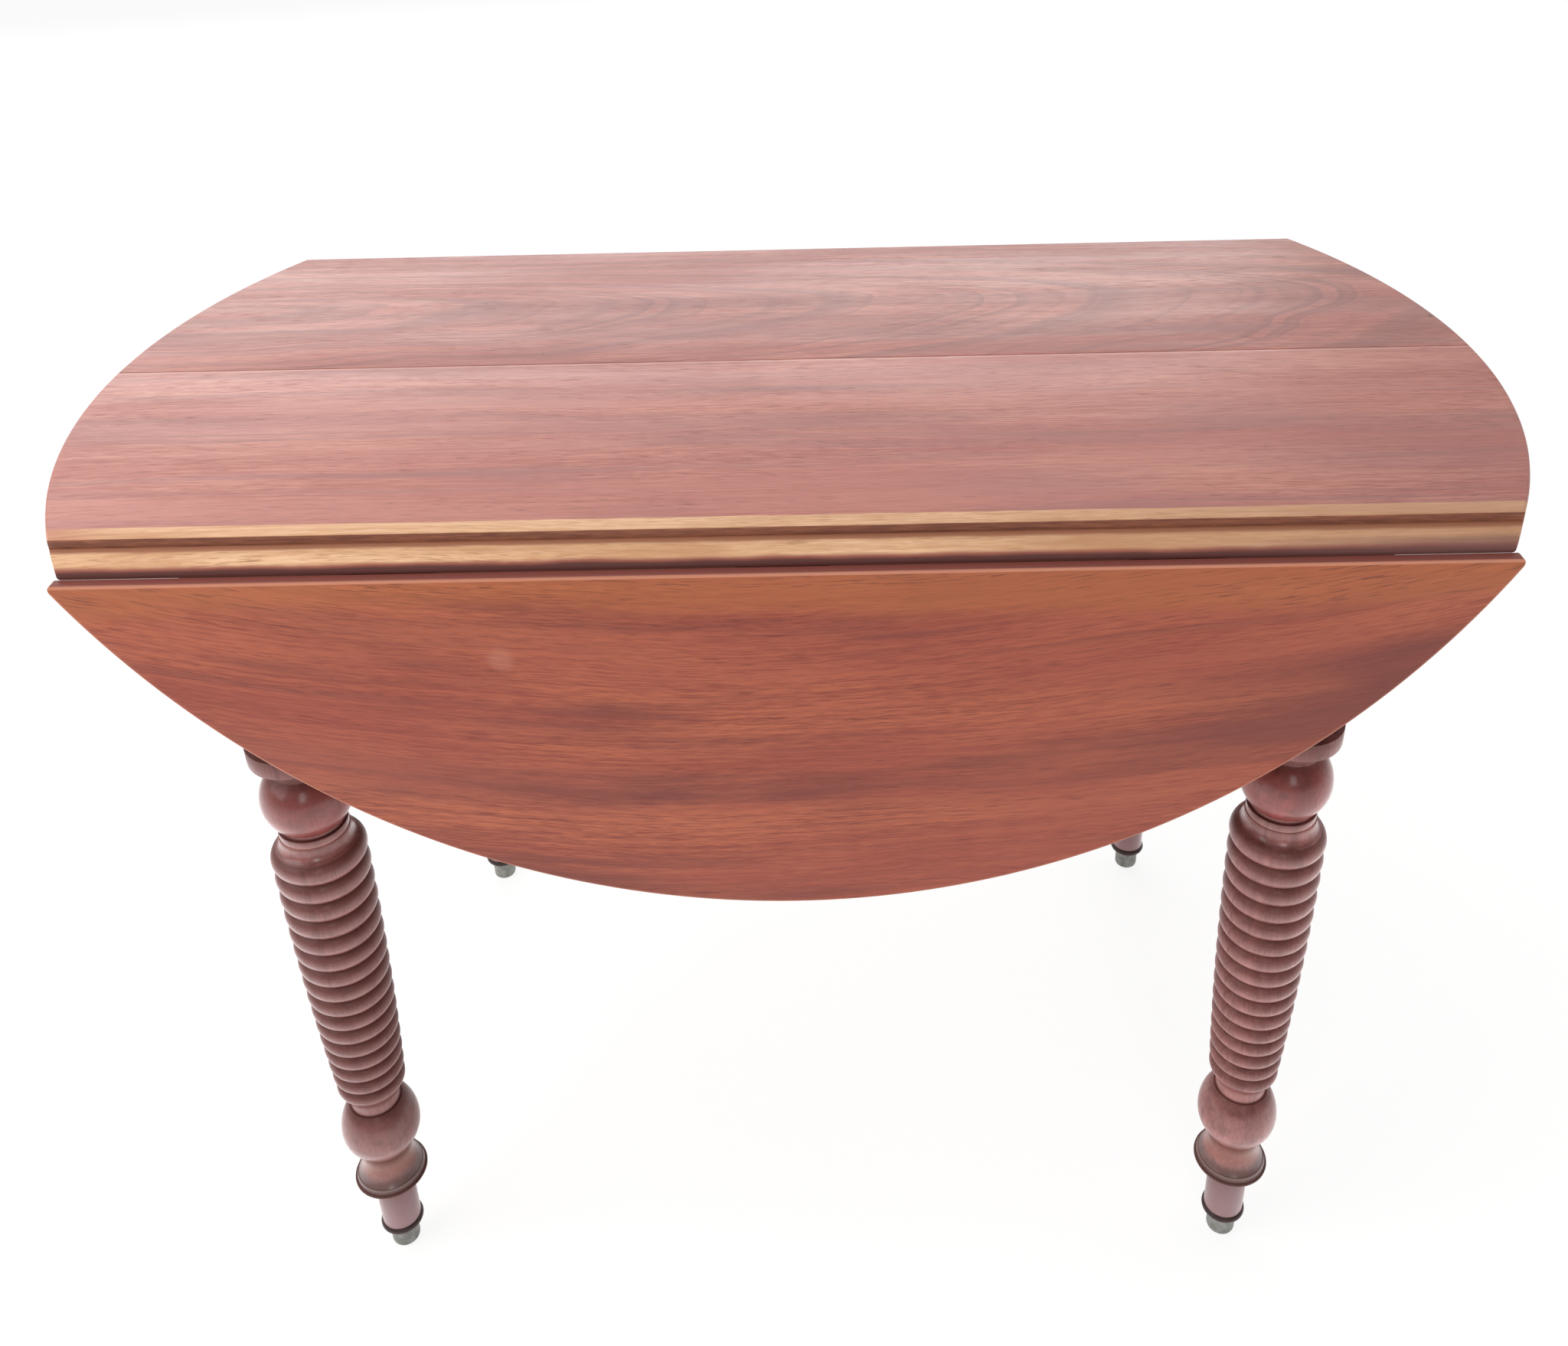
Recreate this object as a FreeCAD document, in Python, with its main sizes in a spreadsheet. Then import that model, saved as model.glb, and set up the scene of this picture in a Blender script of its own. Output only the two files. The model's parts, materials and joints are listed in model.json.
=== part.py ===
# Round drop-leaf table with turned ring legs, in millimetres.
# The floor is at Z = 0 under the middle of the top, X runs along the hinge lines, the front leaf is at -Y.

import math
import os
import re

import FreeCAD, Part
from FreeCAD import Placement, Rotation, Vector

doc = FreeCAD.newDocument("drop_leaf_table")

# Driving sizes

SIZES = {
    # Top and leaves
    "table_height": 740,
    "top_diameter": 1080,
    "centre_width": 528,
    "board_thickness": 22,
    "edge_ease": 1.5,
    "leaf_corner_trim": 4.5,
    "rule_fillet": 7.5,
    "rule_clearance": 0.5,
    "leaf_gap": 0.3,
    "pin_rise": 0.5,
    # Table hinges
    "hinge_count": 3,
    "hinge_leg_distance": 109,
    "hinge_length": 60,
    "plate_reach": 34,
    "flap_reach": 54,
    "plate_thickness": 2,
    "knuckle_radius": 3.2,
    "middle_knuckle": 30,
    "knuckle_play": 0.3,
    "hinge_pin_radius": 1.5,
    "running_clearance": 0.05,
    "swing_room": 0.6,
    "bed_room": 0.3,
    "plate_screw_row": 22,
    "flap_screw_row": 38,
    "hinge_screw_spacing": 20,
    # Wood screws
    "hinge_screw_radius": 1.75,
    "hinge_screw_head_radius": 3.4,
    "hinge_screw_length": 15,
    "batten_screw_radius": 2,
    "batten_screw_head_radius": 4,
    "screw_bite": 12,
    "screw_clearance": 0.05,
    # Apron frame
    "end_overhang": 181,
    "leg_block": 72,
    "block_height": 128,
    "leaf_room": 2.5,
    "apron_thickness": 22,
    "apron_height": 110,
    "apron_setback": 4,
    "tenon_thickness": 9,
    "tenon_length": 28,
    "tenon_haunch": 18,
    "tenon_foot": 8,
    "joint_clearance": 0.1,
    "peg_radius": 4,
    "peg_length": 40,
    "peg_inset": 14,
    "peg_spacing": 40,
    "peg_clearance": 0.05,
    # Seam of the two top boards
    "tongue_setback": 90,
    "tongue_width": 24,
    "tongue_thickness": 6,
    # Lopers and what guides them
    "loper_spacing": 300,
    "loper_width": 34,
    "loper_height": 26,
    "loper_tail_gap": 42,
    "loper_play": 0.5,
    "scoop_radius": 7,
    "batten_width": 20,
    "batten_screw_pitch": 120,
    "keeper_width": 36,
    "keeper_thickness": 10,
    "stop_radius": 4,
    "stop_depth": 16,
    "stop_drop": 8,
    "stop_inset": 14,
    "glue_block_length": 50,
    "glue_block_side": 22,
    "glue_block_spacing": 110,
    # Foot and turned leg, from the floor up
    "ferrule_height": 23.5,
    "ferrule_radius": 11.8,
    "ferrule_wall": 1.5,
    "ferrule_floor": 2.5,
    "ferrule_round": 4,
    "ankle_ring_height": 5,
    "ankle_ring_radius": 17.6,
    "ankle_ring_heel_radius": 15.4,
    "ankle_length": 59.5,
    "ankle_radius": 16.2,
    "bell_radius": 30,
    "bell_rim": 3,
    "bell_band_height": 4.5,
    "bell_band_radius": 27.4,
    "bell_quirk": 0.8,
    "bell_flare": 20,
    "bell_flare_depth": 2,
    "neck_radius": 20.5,
    "bell_neck_length": 8.5,
    "lower_ball_radius": 31.8,
    "lower_ball_rise": 28.5,
    "lower_ball_top_radius": 21.5,
    "lower_ledge": 1.4,
    "lower_collar_height": 17.4,
    "lower_collar_depth": 2,
    "ring_count": 16,
    "ring_depth": 4.3,
    "top_ring_radius": 35.1,
    "last_ring_radius": 27.3,
    "top_ring_arris_radius": 29.8,
    "top_ring_ledge": 1.2,
    "top_cove_height": 11.5,
    "top_cove_depth": 1.8,
    "top_fillet_radius": 25.4,
    "top_fillet_height": 6.5,
    "ball_groove_radius": 23.4,
    "ball_groove_height": 3.5,
    "ball_seat_radius": 24.4,
    "upper_ball_radius": 33.2,
    "ball_crown_radius": 22,
    "crown_neck_length": 10,
    "flange_flare": 3.5,
    "flange_flare_depth": 0.8,
    "flange_radius": 34.6,
    "flange_round": 1.8,
    "flange_height": 15,
    "shoulder_neck_radius": 30,
    "shoulder_radius": 34,
    "shoulder_cove": 14,
    "shoulder_cove_depth": 2,
    "shoulder_height": 23.4,
}

sheet = doc.addObject("Spreadsheet::Sheet", "sizes")
for row, (alias, number) in enumerate(SIZES.items(), start=1):
    sheet.set(f"A{row}", alias.replace("_", " "))
    sheet.set(f"B{row}", str(number))
    sheet.setAlias(f"B{row}", alias)
doc.recompute()


def size(alias):
    """The number in the sheet under this alias."""
    return float(sheet.get(alias))


# Places that several pieces share, worked out from the driving sizes

top_radius = size("top_diameter") / 2
half_width = size("centre_width") / 2
rise = size("pin_rise")
underside = size("table_height") - size("board_thickness")
pin_height = underside + rise
rule_radius = size("board_thickness") - size("rule_fillet") - rise
block_half = size("leg_block") / 2
leg_x = top_radius - size("end_overhang")
leg_y = half_width - rise - size("leaf_room") - block_half
apron_middle = block_half - size("apron_setback") - size("apron_thickness") / 2
apron_inner = apron_middle - size("apron_thickness") / 2
apron_bottom = underside - size("apron_height")
batten_bottom = underside - size("loper_height") - size("loper_play")
batten_height = underside - batten_bottom
cut_margin = 1.0

# In the hinge frame the plate is let in flush with the underside, the flap lies on the leaf
plate_face = -rise
flap_face = -rise - size("plate_thickness")

SIDES = {"front": 180, "rear": 0}
CORNERS = {"rear_right": 0, "rear_left": 90, "front_left": 180, "front_right": 270}
last_hinge = leg_x - size("hinge_leg_distance")
hinge_places = [
    last_hinge * (2 * number / (size("hinge_count") - 1) - 1)
    for number in range(int(size("hinge_count")))
]
loper_places = {"left": -size("loper_spacing") / 2, "right": size("loper_spacing") / 2}
screw_steps = [-size("hinge_screw_spacing"), 0, size("hinge_screw_spacing")]


# Helpers

def turned(angle):
    """A turn about the upright axis."""
    return Rotation(Vector(0, 0, 1), angle)


def hinge_frame(side):
    """The frame of one hinge line: X along the pin, Y out from the table, Z up."""
    outward = 1 if side == "rear" else -1
    return Placement(Vector(0, outward * half_width, pin_height), turned(SIDES[side]))


def hanging_frame(side):
    """The same frame turned down a quarter turn, as the leaf hangs."""
    return hinge_frame(side).multiply(Placement(Vector(), Rotation(Vector(1, 0, 0), -90)))


def bind(piece, **formulas):
    """Tie properties to the sheet; each word in a formula is an alias there."""
    for name, formula in formulas.items():
        piece.setExpression(name, re.sub(r"[a-z_]+", r"sizes.\g<0>", formula))


def box(name, length, width, height, corner):
    block = doc.addObject("Part::Box", name)
    bind(block, Length=length, Width=width, Height=height)
    block.Placement = Placement(Vector(*corner), Rotation())
    return block


def rod(name, radius, length, start, axis):
    """A round bar from start along axis."""
    bar = doc.addObject("Part::Cylinder", name)
    bind(bar, Radius=radius, Height=length)
    bar.Placement = Placement(Vector(*start), Rotation(Vector(0, 0, 1), Vector(*axis)))
    return bar


def plain(name, low, high):
    """A block between two corners, for room that is cut away."""
    block = doc.addObject("Part::Box", name)
    block.Length = high[0] - low[0]
    block.Width = high[1] - low[1]
    block.Height = high[2] - low[2]
    block.Placement = Placement(Vector(*low), Rotation())
    return block


def fuse(name, pieces):
    whole = doc.addObject("Part::MultiFuse", name)
    whole.Shapes = pieces
    return whole


def cut(name, base, tools):
    """The base without the tools, which may overlap each other."""
    rest = doc.addObject("Part::Cut", name)
    rest.Base = base
    rest.Tool = tools[0] if len(tools) == 1 else fuse(name + "_tools", tools)
    return rest


def gather(name, shapes):
    """A group of equal solids, such as screws, as one feature."""
    group = doc.addObject("Part::Feature", name)
    group.Shape = Part.makeCompound(shapes)
    return group


def screw_shape(foot, radius, head_radius, length, room=0.0):
    """A countersunk wood screw that points up from its head; with room it is the hole for one."""
    head_height = head_radius - radius
    point_height = 2 * radius
    blunt_end = radius / 4
    shank_top = length - point_height
    head = Part.makeCone(head_radius + room, radius + room, head_height, foot)
    shank_foot = foot + Vector(0, 0, head_height)
    shank = Part.makeCylinder(radius + room, shank_top - head_height, shank_foot)
    point_foot = foot + Vector(0, 0, shank_top)
    point = Part.makeCone(radius + room, blunt_end + room, point_height + room, point_foot)
    return head.multiFuse([shank, point]).removeSplitter()


class Outline:
    """The profile of a turned or moulded piece, drawn point by point in a sketch."""

    def __init__(self, sketch, start):
        self.sketch = sketch
        self.first = Vector(*start)
        self.last = self.first

    def line(self, across, up):
        end = Vector(across, up, 0)
        self.sketch.addGeometry(Part.LineSegment(self.last, end), False)
        self.last = end

    def arc(self, middle, end):
        """An arc through a middle point."""
        finish = Vector(*end)
        self.sketch.addGeometry(Part.Arc(self.last, Vector(*middle), finish), False)
        self.last = finish

    def bow(self, across, up, depth):
        """An arc that bows out from the axis by depth, or in where depth is negative."""
        end = Vector(across, up, 0)
        chord = end - self.last
        outward = Vector(chord.y, -chord.x, 0).normalize()
        middle = (self.last + end) * 0.5 + outward * depth
        self.arc(middle, end)

    def swell(self, across, up):
        """An arc that starts upright, as at the widest place of a ball, and ends nearer the axis."""
        inward = self.last.x - across
        rise = up - self.last.y
        radius = (inward ** 2 + rise ** 2) / (2 * inward)
        half_turn = math.asin(rise / radius) / 2
        middle_across = self.last.x - radius * (1 - math.cos(half_turn))
        self.arc((middle_across, self.last.y + radius * math.sin(half_turn)), (across, up))

    def close(self):
        self.line(self.first.x, self.first.y)


def sketch_in(body, name, role):
    """A sketch on one of the body's own origin planes."""
    sketch = body.newObject("Sketcher::SketchObject", name)
    plane = [feature for feature in body.Origin.OriginFeatures if feature.Role == role][0]
    sketch.AttachmentSupport = [(plane, "")]
    sketch.MapMode = "FlatFace"
    return sketch


def revolved(name, draw):
    """A body turned about the upright axis from the outline that draw makes."""
    body = doc.addObject("PartDesign::Body", name)
    sketch = sketch_in(body, name + "_outline", "XZ_Plane")
    draw(sketch)
    doc.recompute()
    turning = body.newObject("PartDesign::Revolution", name + "_turning")
    turning.Profile = sketch
    turning.ReferenceAxis = (sketch, ["V_Axis"])
    turning.Angle = 360
    return body


def moulded(name, draw):
    """A body as long as the table's diameter, with the section across the hinge line that draw makes."""
    body = doc.addObject("PartDesign::Body", name)
    sketch = sketch_in(body, name + "_section", "YZ_Plane")
    draw(sketch)
    doc.recompute()
    run = body.newObject("PartDesign::Pad", name + "_run")
    run.Profile = sketch
    run.SideType = "Symmetric"
    bind(run, Length="top_diameter")
    return body


finished = []


def finish(piece, label, placement=None):
    """Name a sub-part, set it in its place and keep it for the check and the export."""
    piece.Label = label
    if placement is not None:
        piece.Placement = placement
    finished.append(piece)
    return piece


# Top boards and leaves, drawn in the hinge frame

def draw_disc(sketch):
    """Half the section of the round top, with both edges of its rim eased."""
    low = -rise
    high = rule_radius + size("rule_fillet")
    ease = size("edge_ease")
    outline = Outline(sketch, (0, low))
    outline.line(top_radius - ease, low)
    outline.line(top_radius, low + ease)
    outline.line(top_radius, high - ease)
    outline.line(top_radius - ease, high)
    outline.line(0, high)
    outline.close()


def round_disc(name):
    """The whole round top, which trims boards and leaves, set behind the hinge line."""
    disc = revolved(name, draw_disc)
    disc.Placement = Placement(Vector(0, -half_width, 0), turned(-90))
    return disc


def board_section(sketch):
    """Fillet and quarter-round on the hinge edge, square at the seam."""
    top = rule_radius + size("rule_fillet")
    outline = Outline(sketch, (-half_width, -rise))
    outline.line(rule_radius, -rise)
    outline.line(rule_radius, 0)
    slant = rule_radius * math.sqrt(0.5)
    outline.arc((slant, slant), (0, rule_radius))
    outline.line(0, top)
    outline.line(-half_width, top)
    outline.close()


def leaf_section(sketch):
    """The lip over the cove that turns round the quarter-round."""
    top = rule_radius + size("rule_fillet")
    cove = rule_radius + size("rule_clearance")
    gap = size("leaf_gap")
    heel = math.sqrt(cove ** 2 - rise ** 2)
    lip = math.sqrt(cove ** 2 - gap ** 2)
    slant = cove * math.sqrt(0.5)
    outline = Outline(sketch, (gap, lip))
    outline.arc((slant, slant), (heel, -rise))
    outline.line(top_radius, -rise)
    outline.line(top_radius, top)
    outline.line(gap, top)
    outline.close()


def hinge_screw_row(place, row, head, room=0.0):
    """The screws of one hinge leaf, in a row at this distance from the pin."""
    return [
        screw_shape(
            Vector(place + step, row, head),
            size("hinge_screw_radius"),
            size("hinge_screw_head_radius"),
            size("hinge_screw_length"),
            room,
        )
        for step in screw_steps
    ]


def plate_screws(place, room=0.0):
    return hinge_screw_row(place, -size("plate_screw_row"), plate_face, room)


def flap_screws(place, room=0.0):
    return hinge_screw_row(place, size("flap_screw_row"), flap_face, room)


def along_hinge_line(screws, room=0.0):
    """The same row of screws at every hinge of one line."""
    return [screw for place in hinge_places for screw in screws(place, room)]


def batten_centres():
    """Where the four battens run: one on each side of each pair of lopers."""
    reach = size("loper_width") / 2 + size("loper_play") + size("batten_width") / 2
    return {
        "left_outer": loper_places["left"] - reach,
        "left_inner": loper_places["left"] + reach,
        "right_inner": loper_places["right"] - reach,
        "right_outer": loper_places["right"] + reach,
    }


def batten_screws(room=0.0):
    pitch = size("batten_screw_pitch")
    return [
        screw_shape(
            Vector(centre, step * pitch, batten_bottom),
            size("batten_screw_radius"),
            size("batten_screw_head_radius"),
            batten_height + size("screw_bite"),
            room,
        )
        for centre in batten_centres().values()
        for step in (-1.5, -0.5, 0.5, 1.5)
    ]


def hinge_beds(name):
    """Room in the underside of a board for its hinges: plate, knuckles and the way of the flap."""
    half = size("hinge_length") / 2 + size("bed_room")
    below = -rise - cut_margin
    bed_top = size("plate_thickness") - rise
    groove = size("knuckle_radius") + size("swing_room")
    beds = []
    for number, place in enumerate(hinge_places, start=1):
        left = place - half
        right = place + half
        inner = -size("plate_reach") - size("bed_room")
        beds.append(plain(f"{name}_bed_{number}", (left, inner, below), (right, 0, bed_top)))
        beds.append(plain(f"{name}_groove_{number}", (left, -groove, below), (right, groove, groove)))
        outer = rule_radius + cut_margin
        way_top = size("bed_room") - rise
        beds.append(plain(f"{name}_way_{number}", (left, 0, below), (right, outer, way_top)))
    return beds


def make_top_board(side):
    name = f"top_board_{side}"
    section = moulded(name + "_blank", board_section)
    trimmed = doc.addObject("Part::Common", name + "_trimmed")
    trimmed.Base = section
    trimmed.Tool = round_disc(name + "_disc")
    room = size("screw_clearance")
    plate_holes = gather(name + "_plate_holes", along_hinge_line(plate_screws, room))
    own_frame = hinge_frame(side).inverse().toMatrix()
    holes = [shape.transformed(own_frame) for shape in batten_screws(room)]
    inside = [hole for hole in holes if hole.BoundBox.YMax < 0 and hole.BoundBox.YMin > -half_width]
    batten_holes = gather(name + "_batten_holes", inside)
    play = size("joint_clearance")
    half_tongue = top_radius - size("tongue_setback") + play
    depth = size("tongue_width") / 2 + play
    middle = size("board_thickness") / 2 - rise
    half_groove = size("tongue_thickness") / 2 + play
    groove = plain(
        name + "_tongue_groove",
        (-half_tongue, -half_width - cut_margin, middle - half_groove),
        (half_tongue, -half_width + depth, middle + half_groove),
    )
    board = cut(name, trimmed, hinge_beds(name) + [groove, plate_holes, batten_holes])
    finish(board, name, hinge_frame(side))


def leaf_corners(name):
    """The sharp tips at both ends of the hinge edge, which are cut off blunt."""
    tip = math.sqrt(top_radius ** 2 - half_width ** 2)
    blunt_end = tip - size("leaf_corner_trim")
    depth = half_width / 2
    low = -rise - cut_margin
    high = size("board_thickness") + cut_margin
    beyond = top_radius + cut_margin
    return [
        plain(name + "_corner_left", (-beyond, -cut_margin, low), (-blunt_end, depth, high)),
        plain(name + "_corner_right", (blunt_end, -cut_margin, low), (beyond, depth, high)),
    ]


def make_leaf(side):
    name = f"leaf_{side}"
    section = moulded(name + "_blank", leaf_section)
    trimmed = doc.addObject("Part::Common", name + "_trimmed")
    trimmed.Base = section
    trimmed.Tool = round_disc(name + "_disc")
    holes = gather(name + "_flap_holes", along_hinge_line(flap_screws, size("screw_clearance")))
    finish(cut(name, trimmed, leaf_corners(name) + [holes]), name, hanging_frame(side))


# Hinges

def knuckle(name, start, length):
    return rod(name, "knuckle_radius", length, (start, 0, 0), (1, 0, 0))


def pin_hole(name, place):
    start = place - size("hinge_length") / 2
    return rod(name, "hinge_pin_radius + running_clearance", "hinge_length", (start, 0, 0), (1, 0, 0))


def make_hinge_plate(side, number, place):
    """The fixed half, let into the underside of the top board, with the two end knuckles."""
    name = f"hinge_plate_{side}_{number}"
    left = place - size("hinge_length") / 2
    joint = size("middle_knuckle") / 2
    clear = size("knuckle_radius") + size("swing_room")
    corner = (left, -size("plate_reach"), plate_face)
    end_length = "hinge_length / 2 - middle_knuckle / 2"
    blank = [
        box(name + "_sheet", "hinge_length", "plate_reach", "plate_thickness", corner),
        knuckle(name + "_knuckle_left", left, end_length),
        knuckle(name + "_knuckle_right", place + joint, end_length),
    ]
    tools = [
        plain(name + "_window", (place - joint, -clear, -clear), (place + joint, clear, clear)),
        pin_hole(name + "_eye", place),
        gather(name + "_holes", plate_screws(place, size("screw_clearance"))),
    ]
    finish(cut(name, fuse(name + "_blank", blank), tools), name, hinge_frame(side))


def make_hinge_flap(side, number, place):
    """The moving half, on the inner face of the leaf, with the middle knuckle."""
    name = f"hinge_flap_{side}_{number}"
    half = size("hinge_length") / 2
    joint = size("middle_knuckle") / 2 - size("knuckle_play")
    clear = size("knuckle_radius") + size("swing_room")
    corner = (place - half, 0, flap_face)
    far_left = place - half - cut_margin
    far_right = place + half + cut_margin
    blank = [
        box(name + "_sheet", "hinge_length", "flap_reach", "plate_thickness", corner),
        knuckle(name + "_knuckle", place - joint, "middle_knuckle - 2 * knuckle_play"),
    ]
    tools = [
        plain(name + "_window_left", (far_left, -clear, -clear), (place - joint, clear, clear)),
        plain(name + "_window_right", (place + joint, -clear, -clear), (far_right, clear, clear)),
        pin_hole(name + "_eye", place),
        gather(name + "_holes", flap_screws(place, size("screw_clearance"))),
    ]
    finish(cut(name, fuse(name + "_blank", blank), tools), name, hanging_frame(side))


def make_hinge_pin(side, number, place):
    name = f"hinge_pin_{side}_{number}"
    pin = rod(name, "hinge_pin_radius", "hinge_length", (0, 0, 0), (1, 0, 0))
    left = Vector(place - size("hinge_length") / 2, 0, 0)
    along_pin = Placement(left, Rotation(Vector(0, 1, 0), 90))
    finish(pin, name, hinge_frame(side).multiply(along_pin))


# Legs and feet

def draw_ferrule(sketch):
    radius = size("ferrule_radius")
    bend = size("ferrule_round")
    inside = radius - size("ferrule_wall")
    slant = bend * (1 - math.sqrt(0.5))
    outline = Outline(sketch, (0, 0))
    outline.line(radius - bend, 0)
    outline.arc((radius - slant, slant), (radius, bend))
    outline.line(radius, size("ferrule_height"))
    outline.line(inside, size("ferrule_height"))
    outline.line(inside, size("ferrule_floor"))
    outline.line(0, size("ferrule_floor"))
    outline.close()


def ball_half_height(ball_radius, end_radius):
    """How far above or below its middle a ball has narrowed to this radius."""
    return math.sqrt(ball_radius ** 2 - end_radius ** 2)


def draw_foot_and_bell(outline):
    """From the spigot in the ferrule over ankle and bell up to the neck under the lower ball."""
    spigot = size("ferrule_radius") - size("ferrule_wall") - size("joint_clearance")
    ankle = size("ankle_radius")
    outline.line(spigot, size("ferrule_floor"))
    up = size("ferrule_height")
    outline.line(spigot, up)
    outline.line(size("ankle_ring_heel_radius"), up)
    ring_top = up + size("ankle_ring_height")
    outline.arc((size("ankle_ring_radius"), (up + ring_top) / 2), (ankle, ring_top))
    up = ring_top + size("ankle_length")
    outline.line(ankle, up)
    edge = size("bell_rim") / 2
    inside = size("bell_radius") - edge
    outline.line(inside, up)
    outline.arc((size("bell_radius"), up + edge), (inside, up + size("bell_rim")))
    up += size("bell_rim") + size("bell_band_height")
    outline.line(size("bell_band_radius"), up)
    outline.line(size("bell_band_radius") - size("bell_quirk"), up)
    up += size("bell_flare")
    outline.bow(size("neck_radius"), up, -size("bell_flare_depth"))
    up += size("bell_neck_length")
    outline.line(size("neck_radius"), up)
    return up


def draw_lower_ball(outline, up):
    """A ball, its upper half a little drawn out, with a ledge under the collar."""
    radius = size("lower_ball_radius")
    half_turn = math.acos(size("neck_radius") / radius) / 2
    middle = up + ball_half_height(radius, size("neck_radius"))
    outline.arc((radius * math.cos(half_turn), middle - radius * math.sin(half_turn)), (radius, middle))
    top = middle + size("lower_ball_rise")
    outline.swell(size("lower_ball_top_radius"), top)
    outline.line(size("lower_ball_top_radius") - size("lower_ledge"), top)
    return top


def ring_radius(share):
    """The crest radius down the column; share is 0 at the top ring and 1 at the last one."""
    swell = 1.8
    return size("top_ring_radius") - (size("top_ring_radius") - size("last_ring_radius")) * share ** swell


def ring_fall(share):
    """How far down the column a ring edge lies; the rings get lower towards the foot."""
    crowding = 0.128
    return share * (1 + crowding) - crowding * share ** 2


def draw_rings(outline, low, high):
    """The stacked rings from the lowest to the one under the top ring."""
    count = int(size("ring_count"))
    edges = [high - (high - low) * ring_fall(number / count) for number in range(count + 1)]
    radii = [ring_radius(number / (count - 1)) for number in range(count)]
    depth = size("ring_depth")
    outline.bow(radii[-1] - depth, low, -size("lower_collar_depth"))
    for number in reversed(range(1, count)):
        crest = (radii[number], (edges[number] + edges[number + 1]) / 2)
        valley = (radii[number] + radii[number - 1]) / 2 - depth
        outline.arc(crest, (valley, edges[number]))
    return edges[1], edges[0]


def draw_top_ring_and_ball(outline, ring_low, ring_high):
    """The largest ring with its arris and ledge, the cove and fillet on it, and the upper ball."""
    crest_share = 0.45
    crest = ring_low + (ring_high - ring_low) * crest_share
    outline.arc((size("top_ring_radius"), crest), (size("top_ring_arris_radius"), ring_high))
    outline.line(size("top_ring_arris_radius") - size("top_ring_ledge"), ring_high)
    up = ring_high + size("top_cove_height")
    outline.bow(size("top_fillet_radius"), up, -size("top_cove_depth"))
    up += size("top_fillet_height")
    outline.line(size("top_fillet_radius"), up)
    outline.line(size("ball_groove_radius"), up)
    up += size("ball_groove_height")
    outline.line(size("ball_groove_radius"), up)
    outline.line(size("ball_seat_radius"), up)
    radius = size("upper_ball_radius")
    middle = up + ball_half_height(radius, size("ball_seat_radius"))
    top = middle + ball_half_height(radius, size("ball_crown_radius"))
    outline.arc((radius, middle), (size("ball_crown_radius"), top))
    return top


def draw_flange_and_shoulder(outline, up):
    """The flange on its neck and the short shoulder that carries the block."""
    up += size("crown_neck_length")
    outline.line(size("ball_crown_radius"), up)
    edge = size("flange_round")
    up += size("flange_flare")
    outline.bow(size("flange_radius") - edge, up, -size("flange_flare_depth"))
    slant = edge * (1 - math.sqrt(0.5))
    outline.arc((size("flange_radius") - slant, up + slant), (size("flange_radius"), up + edge))
    up += size("flange_height")
    outline.line(size("flange_radius"), up)
    outline.line(size("shoulder_neck_radius"), up)
    up += size("shoulder_cove")
    outline.bow(size("shoulder_radius"), up, -size("shoulder_cove_depth"))
    up += size("shoulder_height")
    outline.line(size("shoulder_radius"), up)
    outline.line(0, up)


def height_over_rings():
    """What stands between the top ring and the block."""
    under_ball = ["top_cove_height", "top_fillet_height", "ball_groove_height"]
    over_ball = ["crown_neck_length", "flange_flare", "flange_height", "shoulder_cove", "shoulder_height"]
    radius = size("upper_ball_radius")
    ball = sum(ball_half_height(radius, size(end)) for end in ("ball_seat_radius", "ball_crown_radius"))
    return sum(size(part) for part in under_ball + over_ball) + ball


def draw_leg(sketch):
    outline = Outline(sketch, (0, size("ferrule_floor")))
    up = draw_foot_and_bell(outline)
    up = draw_lower_ball(outline, up)
    column_low = up + size("lower_collar_height")
    column_high = underside - size("block_height") - height_over_rings()
    ring_low, ring_high = draw_rings(outline, column_low, column_high)
    up = draw_top_ring_and_ball(outline, ring_low, ring_high)
    draw_flange_and_shoulder(outline, up)
    outline.close()


def tenon_span():
    """The low and high end of a tenon."""
    return apron_bottom + size("tenon_foot"), underside - size("tenon_haunch")


def peg_heights():
    low, high = tenon_span()
    middle = (low + high) / 2
    return [middle - size("peg_spacing") / 2, middle + size("peg_spacing") / 2]


def mortises(name):
    """The two mortises of a leg block, on its two inner faces."""
    play = size("joint_clearance")
    low, high = tenon_span()
    half = size("tenon_thickness") / 2 + play
    depth = size("tenon_length") + play - block_half
    mouth = -block_half - cut_margin
    return [
        plain(
            name + "_mortise_x",
            (mouth, apron_middle - half, low - play),
            (depth, apron_middle + half, high + play),
        ),
        plain(
            name + "_mortise_y",
            (apron_middle - half, mouth, low - play),
            (apron_middle + half, depth, high + play),
        ),
    ]


def peg_line(name, radius, length):
    """The pegs of one leg, or their holes: two through each tenon, driven from the outer faces."""
    across = size("peg_inset") - block_half
    pegs = []
    for number, height in enumerate(peg_heights(), start=1):
        pegs.append(rod(f"{name}_y_{number}", radius, length, (across, block_half, height), (0, -1, 0)))
        pegs.append(rod(f"{name}_x_{number}", radius, length, (block_half, across, height), (-1, 0, 0)))
    return pegs


def leg_frame(corner):
    right = 1 if corner.endswith("right") else -1
    back = 1 if corner.startswith("rear") else -1
    return Placement(Vector(right * leg_x, back * leg_y, 0), turned(CORNERS[corner]))


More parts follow.
